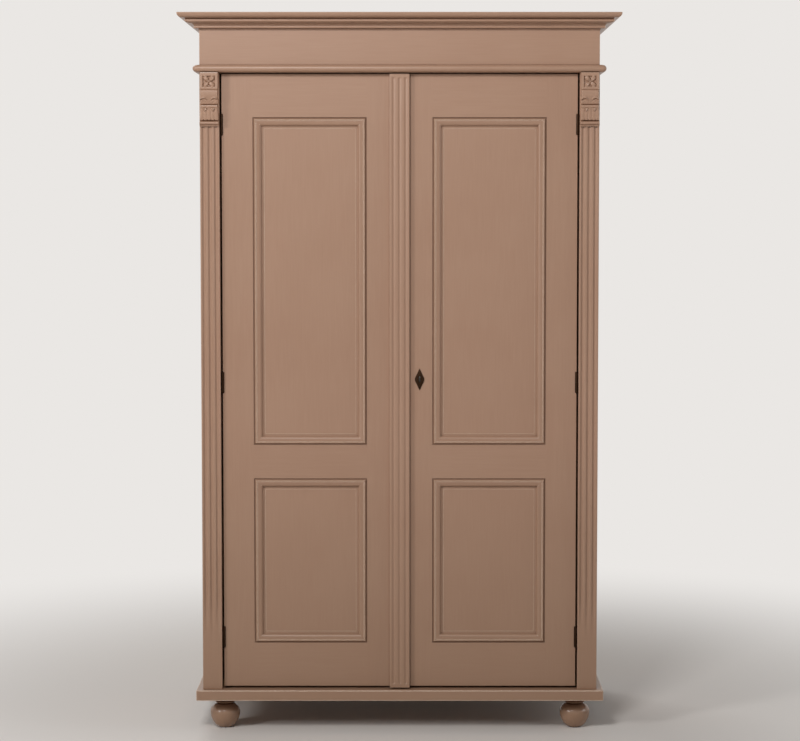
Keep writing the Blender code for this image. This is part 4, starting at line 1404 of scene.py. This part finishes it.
@dataclass
class RimLock(SubAssembly):
    """Escutcheon, lock case and bolt of the right leaf."""

    plate_easing: float = 0.0007
    plate_flat: float = 0.003
    plate_bulge: Pair = (0.55, 0.50)
    plate_bevel: Profile = ((1.0, 1.0), (0.965, 0.35), (0.90, 0.0))
    pin_radius: float = 0.0011
    pin_share: float = 0.62
    pin_depth: float = 0.0005
    pin_steps: int = 16
    tip_steps: int = 5
    wall: float = 0.0015
    case_easing: float = 0.0008
    case_screw_inset: float = 0.006
    bolt_clearance: float = 0.0005
    bolt_easing: float = 0.0006
    bolt_slot_depth: float = 0.005
    drill_pin_radius: float = 0.0021
    drill_pin_steps: int = 20
    drill_tip_steps: int = 6
    drill_pin_front: float = -0.2374
    toward_front: ClassVar[Matrix] = Matrix.Rotation(math.radians(90), 4, "X")
    keyhole_middle: ClassVar[Pair] = (0.0525, 0.9405)
    keyhole_height: ClassVar[float] = 0.017
    keyhole_eye_radius: ClassVar[float] = 0.0032
    keyhole_slot_half: ClassVar[float] = 0.0024
    keyhole_steps: ClassVar[int] = 16

    @classmethod
    def keyhole_tool(cls, front: float, back: float) -> Workpiece:
        """Make the shape that cuts the keyhole.

        Args:
            front: Front face of the piece that it goes through.
            back: Back face of the piece.

        Returns:
            The cutting shape.
        """
        x, z = cls.keyhole_middle
        eye, slot, half = cls.keyhole_eye_radius, cls.keyhole_slot_half, cls.keyhole_height / 2
        lean = math.degrees(math.asin(slot / eye))
        rim = arc((x, z + half - eye), (eye, eye), lean - 90, 270 - lean, cls.keyhole_steps)
        outline = [(x + slot, z - half), *rim, (x - slot, z - half)]
        work = Workpiece()
        work.sweep([[(across, y, up) for across, up in outline] for y in (front - OVERCUT, back + OVERCUT)])
        return work

    def build(self) -> None:
        """Make the escutcheon, the case and the bolt."""
        self._add_escutcheon()
        self._add_case()
        work = Workpiece()
        work.board(*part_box("lock_bolt"), easing=self.bolt_easing)
        work.place("lock_bolt_bar", "lock_bolt", [self.palette.steel], "lock_steel", ["lock_bolt"])

    def _add_escutcheon(self) -> None:
        """Make the lozenge plate with its bevelled rim, its keyhole and two pins."""
        low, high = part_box("escutcheon")
        x, z = self.keyhole_middle
        half_width, half_height, flat = (high.x - low.x) / 2, (high.z - low.z) / 2, self.plate_flat
        ease, (bulge_x, bulge_z) = self.plate_easing, self.plate_bulge
        lozenge = [(0, -half_height), (half_width * bulge_x, -half_height * bulge_z), (half_width, -flat),
                   (half_width, flat), (half_width * bulge_x, half_height * bulge_z), (0, half_height)]
        lozenge += [(-across, up) for across, up in reversed(lozenge[1:-1])]
        rings = [(1.0, high.y), *[(scale, low.y + ease * depth) for scale, depth in self.plate_bevel]]
        work = Workpiece()
        # The lozenge is about twice as high as it is wide, so its height shrinks half as fast
        work.sweep([[(x + across * scale, y, z + up * (1 + (scale - 1) / 2)) for across, up in lozenge]
                    for scale, y in rings])
        work.cut(self.keyhole_tool(low.y, high.y))
        dome = arc((0, 0), (self.pin_radius, self.pin_radius / 2), 0, 90, self.tip_steps)
        for sign in (-1, 1):
            seat = Matrix.Translation((x, low.y, z + sign * half_height * self.pin_share))
            work.turn([(0, -self.pin_depth), (self.pin_radius, -self.pin_depth), *dome],
                      seat @ self.toward_front, self.pin_steps)
        self.fit(work, "escutcheon_plate", "escutcheon", self.palette.iron, "blackened_iron")

    def _add_case(self) -> None:
        """Make the hollow case, with the slot that the bolt slides through and four screws."""
        low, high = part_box("lock_case")
        bolt_low, bolt_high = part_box("lock_bolt")
        wall, room, inset = self.wall, self.bolt_clearance, self.case_screw_inset
        work = Workpiece()
        work.board(low, high, easing=self.case_easing)
        hollow = ((low.x + wall, low.y - OVERCUT, low.z + wall),
                  (high.x - wall, high.y - wall, high.z - wall))
        slot = ((low.x - OVERCUT, bolt_low.y - room, bolt_low.z - room),
                (low.x + self.bolt_slot_depth, bolt_high.y + room, bolt_high.z + room))
        for box in (hollow, slot):
            tool = Workpiece()
            tool.board(*box)
            work.cut(tool)
        for x in (low.x + inset, high.x - inset):
            for z in (low.z + inset, high.z - inset):
                self.add_screw(work, (x, high.y, z), (0, 1, 0))
        # The drill pin that a hollow key turns on shows through the keyhole
        radius, length = self.drill_pin_radius, high.y - wall - self.drill_pin_front
        tip = arc((0, length - radius), (radius, radius), 0, 90, self.drill_tip_steps)
        eye_z = self.keyhole_middle[1] + self.keyhole_height / 2 - self.keyhole_eye_radius
        seat = Matrix.Translation((self.keyhole_middle[0], high.y - wall, eye_z))
        profile = [(0, -wall / 2), (radius, -wall / 2), *tip]
        work.turn(profile, seat @ self.toward_front, self.drill_pin_steps)
        self.fit(work, "lock_case_cover", "lock_case", self.palette.steel, "lock_steel")


@dataclass
class Interior(SubAssembly):
    """Hat shelf, the notched cleats that carry it, and the clothes rail."""

    shelf_easing: float = 0.0025
    rail_easing: float = 0.0015
    rail_easing_steps: int = 4
    rail_steps: int = 40
    notch_room: float = 0.0004
    notch_steps: int = 20
    screw_shares: Pair = (0.18, 0.82)

    def build(self) -> None:
        """Make the shelf, the cleats and the rail."""
        self.eased_board("hat_shelf", Grain.ACROSS, self.shelf_easing, painted=False)
        for side in Side:
            self._add_cleat(side)
        self._add_rail()

    def _add_cleat(self, side: Side) -> None:
        """Make one cleat, with the round-bottomed notch that the rail drops into.

        Args:
            side: The side board that it is screwed to.
        """
        node = side.word + "_rail_cleat"
        low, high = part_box(node)
        rail_low, rail_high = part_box("clothes_rail")
        middle = (rail_low + rail_high) / 2
        notch = (rail_high.z - rail_low.z) / 2 + self.notch_room
        cradle = arc((middle.y, middle.z), (notch, notch), 180, 360, self.notch_steps)
        outline = [(low.y, low.z), (low.y, high.z), (middle.y - notch, high.z), *cradle,
                   (middle.y + notch, high.z), (high.y, high.z), (high.y, low.z)]
        work = Workpiece()
        work.sweep([[(x, y, z) for y, z in outline] for x in (low.x, high.x)])
        inner = high.x if side is Side.LEFT else low.x
        for share in self.screw_shares:
            self.add_screw(work, (inner, low.y + (high.y - low.y) * share, (low.z + high.z) / 2),
                           (-side.value, 0, 0))
        self.fit(work, node + "_shaped", node, self.palette.pine[Grain.DEEP], "waxed_pine")

    def _add_rail(self) -> None:
        """Turn the clothes rail."""
        low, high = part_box("clothes_rail")
        middle, radius, half = (low + high) / 2, (high.z - low.z) / 2, (high.x - low.x) / 2
        ease, steps = self.rail_easing, self.rail_easing_steps
        profile = [(0, -half), *arc((radius - ease, ease - half), (ease, ease), -90, 0, steps),
                   *arc((radius - ease, half - ease), (ease, ease), 0, 90, steps), (0, half)]
        work = Workpiece()
        matrix = Matrix.Translation(middle) @ Matrix.Rotation(math.radians(90), 4, "Y")
        work.turn(profile, matrix, self.rail_steps)
        self.fit(work, "clothes_rail_turned", "clothes_rail", self.palette.pine[Grain.ACROSS], "waxed_pine")


class Lamp(NamedTuple):
    """A soft square lamp: where it hangs, what it points at, its side in metres and its power in watts."""

    name: str
    place: Triple
    target: Triple
    size: float
    power: float


@dataclass
class Studio:
    """Floor, backdrop, lamps and camera."""

    floor_colour: str = "#DAD5D0"
    backdrop_colour: str = "#EAE7E4"
    floor_radius: float = 9.0
    floor_roughness: float = 0.75
    floor_steps: int = 64
    fade: Pair = (0.75, 2.6)
    ambient_strength: float = 0.17
    lens: float = 98.33
    sensor_width: float = 36.0
    shift: Pair = (-0.0138, -0.0340)
    eye: Triple = (0.030, -6.000, 1.4000)
    tilt_degrees: float = 3.612
    lamps: Sequence[Lamp] = (
        Lamp("window_lamp", (-4.6, -4.0, 2.7), (0.0, -0.2, 1.0), 1.0, 119.0),
        Lamp("high_lamp", (-0.8, -3.4, 3.2), (0.0, -0.2, 2.5), 0.8, 72.0),
        Lamp("right_lamp", (5.2, -1.0, 2.4), (0.0, 0.0, 1.0), 2.8, 55.0),
        Lamp("back_lamp", (-2.6, 4.8, 5.4), (0.0, 0.0, 1.0), 3.4, 130.0),
    )

    def build(self) -> None:
        """Set up the studio."""
        bpy.context.scene.view_settings.view_transform = "Standard"
        self._add_world()
        self._add_floor()
        for lamp in self.lamps:
            self._add_lamp(lamp)
        self._add_camera()

    @staticmethod
    def _seen(tree: bpy.types.NodeTree) -> bpy.types.NodeSocket:
        """Add nodes that tell whether the camera, a reflection or glass looks at the backdrop.

        Args:
            tree: The node tree.

        Returns:
            A socket that is one for such rays.
        """
        rays = add_node(tree, "LightPath").outputs
        seen = rays["Is Camera Ray"]
        for kind in ("Is Glossy Ray", "Is Transmission Ray"):
            seen = add_node(tree, "Math", (seen, rays[kind]), operation="MAXIMUM").outputs[0]
        return seen

    def _add_world(self) -> None:
        """Make the even light from all round, and the pale background."""
        world = bpy.data.worlds.new("studio")
        world.use_nodes = True
        tree = world.node_tree
        tree.nodes.clear()
        light = add_node(tree, "Background", {"Color": (1, 1, 1, 1), "Strength": self.ambient_strength})
        sight = add_node(tree, "Background", {"Color": linear(self.backdrop_colour), "Strength": 1.0})
        mixed = add_node(tree, "MixShader", (self._seen(tree), light.outputs[0], sight.outputs[0]))
        add_node(tree, "OutputWorld", {"Surface": mixed.outputs[0]})
        bpy.context.scene.world = world

    def _add_floor(self) -> None:
        """Make the floor, which fades into the background some way from the wardrobe."""
        material = bpy.data.materials.new("matt_floor")
        material.use_nodes = True
        tree = material.node_tree
        shader = tree.nodes["Principled BSDF"]
        shader.inputs["Base Color"].default_value = linear(self.floor_colour)
        shader.inputs["Roughness"].default_value = self.floor_roughness
        place = add_node(tree, "TexCoord").outputs["Object"]
        away = add_node(tree, "VectorMath", (place,), operation="LENGTH").outputs["Value"]
        share = add_node(tree, "MapRange", (away, *self.fade), interpolation_type="SMOOTHSTEP").outputs[0]
        shown = add_node(tree, "Math", (share, self._seen(tree)), operation="MULTIPLY").outputs[0]
        sight = add_node(tree, "Emission", {"Color": linear(self.backdrop_colour), "Strength": 1.0})
        mixed = add_node(tree, "MixShader", (shown, shader.outputs[0], sight.outputs[0]))
        tree.links.new(mixed.outputs[0], tree.nodes["Material Output"].inputs["Surface"])
        shape = bmesh.new()
        bmesh.ops.create_circle(shape, cap_ends=True, radius=self.floor_radius,
                                segments=self.floor_steps)
        mesh = to_mesh(shape, "floor")
        mesh.materials.append(material)
        add_object("floor", mesh)

    @staticmethod
    def _add_lamp(lamp: Lamp) -> None:
        """Add one soft lamp.

        Args:
            lamp: The lamp's measures.
        """
        light = bpy.data.lights.new(lamp.name, "AREA")
        light.shape, light.size, light.energy = "SQUARE", lamp.size, lamp.power
        item = add_object(lamp.name, light)
        item.location = lamp.place
        item.rotation_euler = (Vector(lamp.target) - Vector(lamp.place)).to_track_quat("-Z", "Y").to_euler()

    def _add_camera(self) -> None:
        """Stand the camera before the doors, nearly level so that the uprights stay parallel."""
        data = bpy.data.cameras.new("camera")
        data.lens, data.sensor_width = self.lens, self.sensor_width
        data.shift_x, data.shift_y = self.shift
        camera = add_object("camera", data)
        camera.location = self.eye
        camera.rotation_euler = (math.radians(90 - self.tilt_degrees), 0, 0)
        bpy.context.scene.camera = camera


def corners(bounds: tuple[Vector, Vector]) -> list[list[float]]:
    """Turn a box into plain lists.

    Args:
        bounds: Its lowest and highest corners.

    Returns:
        The two corners as lists of numbers.
    """
    return [[float(value) for value in corner] for corner in bounds]


def main() -> None:
    """Build the wardrobe's looks and the studio round it."""
    logging.basicConfig(level=logging.INFO, format="%(name)s: %(message)s")
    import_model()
    palette = Palette()
    parts: list[SubAssembly] = [Carcass(palette), Crown(palette), BunFeet(palette), Interior(palette)]
    for side in Side:
        door = side.word + "_door"
        parts += [
            FlutedMember(palette, node=side.word + "_post", flute_foot=0.120, foot_fade=0.130,
                         flute_head=0.1325),
            Corbel(palette, node=side.word + "_corbel"),
            DoorLeaf(palette, door, side=side),
            HingeSet(palette, side=side, leaf_body=door),
        ]
    parts += [
        FlutedMember(palette, "left_door", node="centre_strip", flute_depth=0.0021, softness=1.0),
        RimLock(palette, "right_door"),
    ]
    for part in parts:
        part.build()
    Studio().build()


if __name__ == "__main__":
    main()
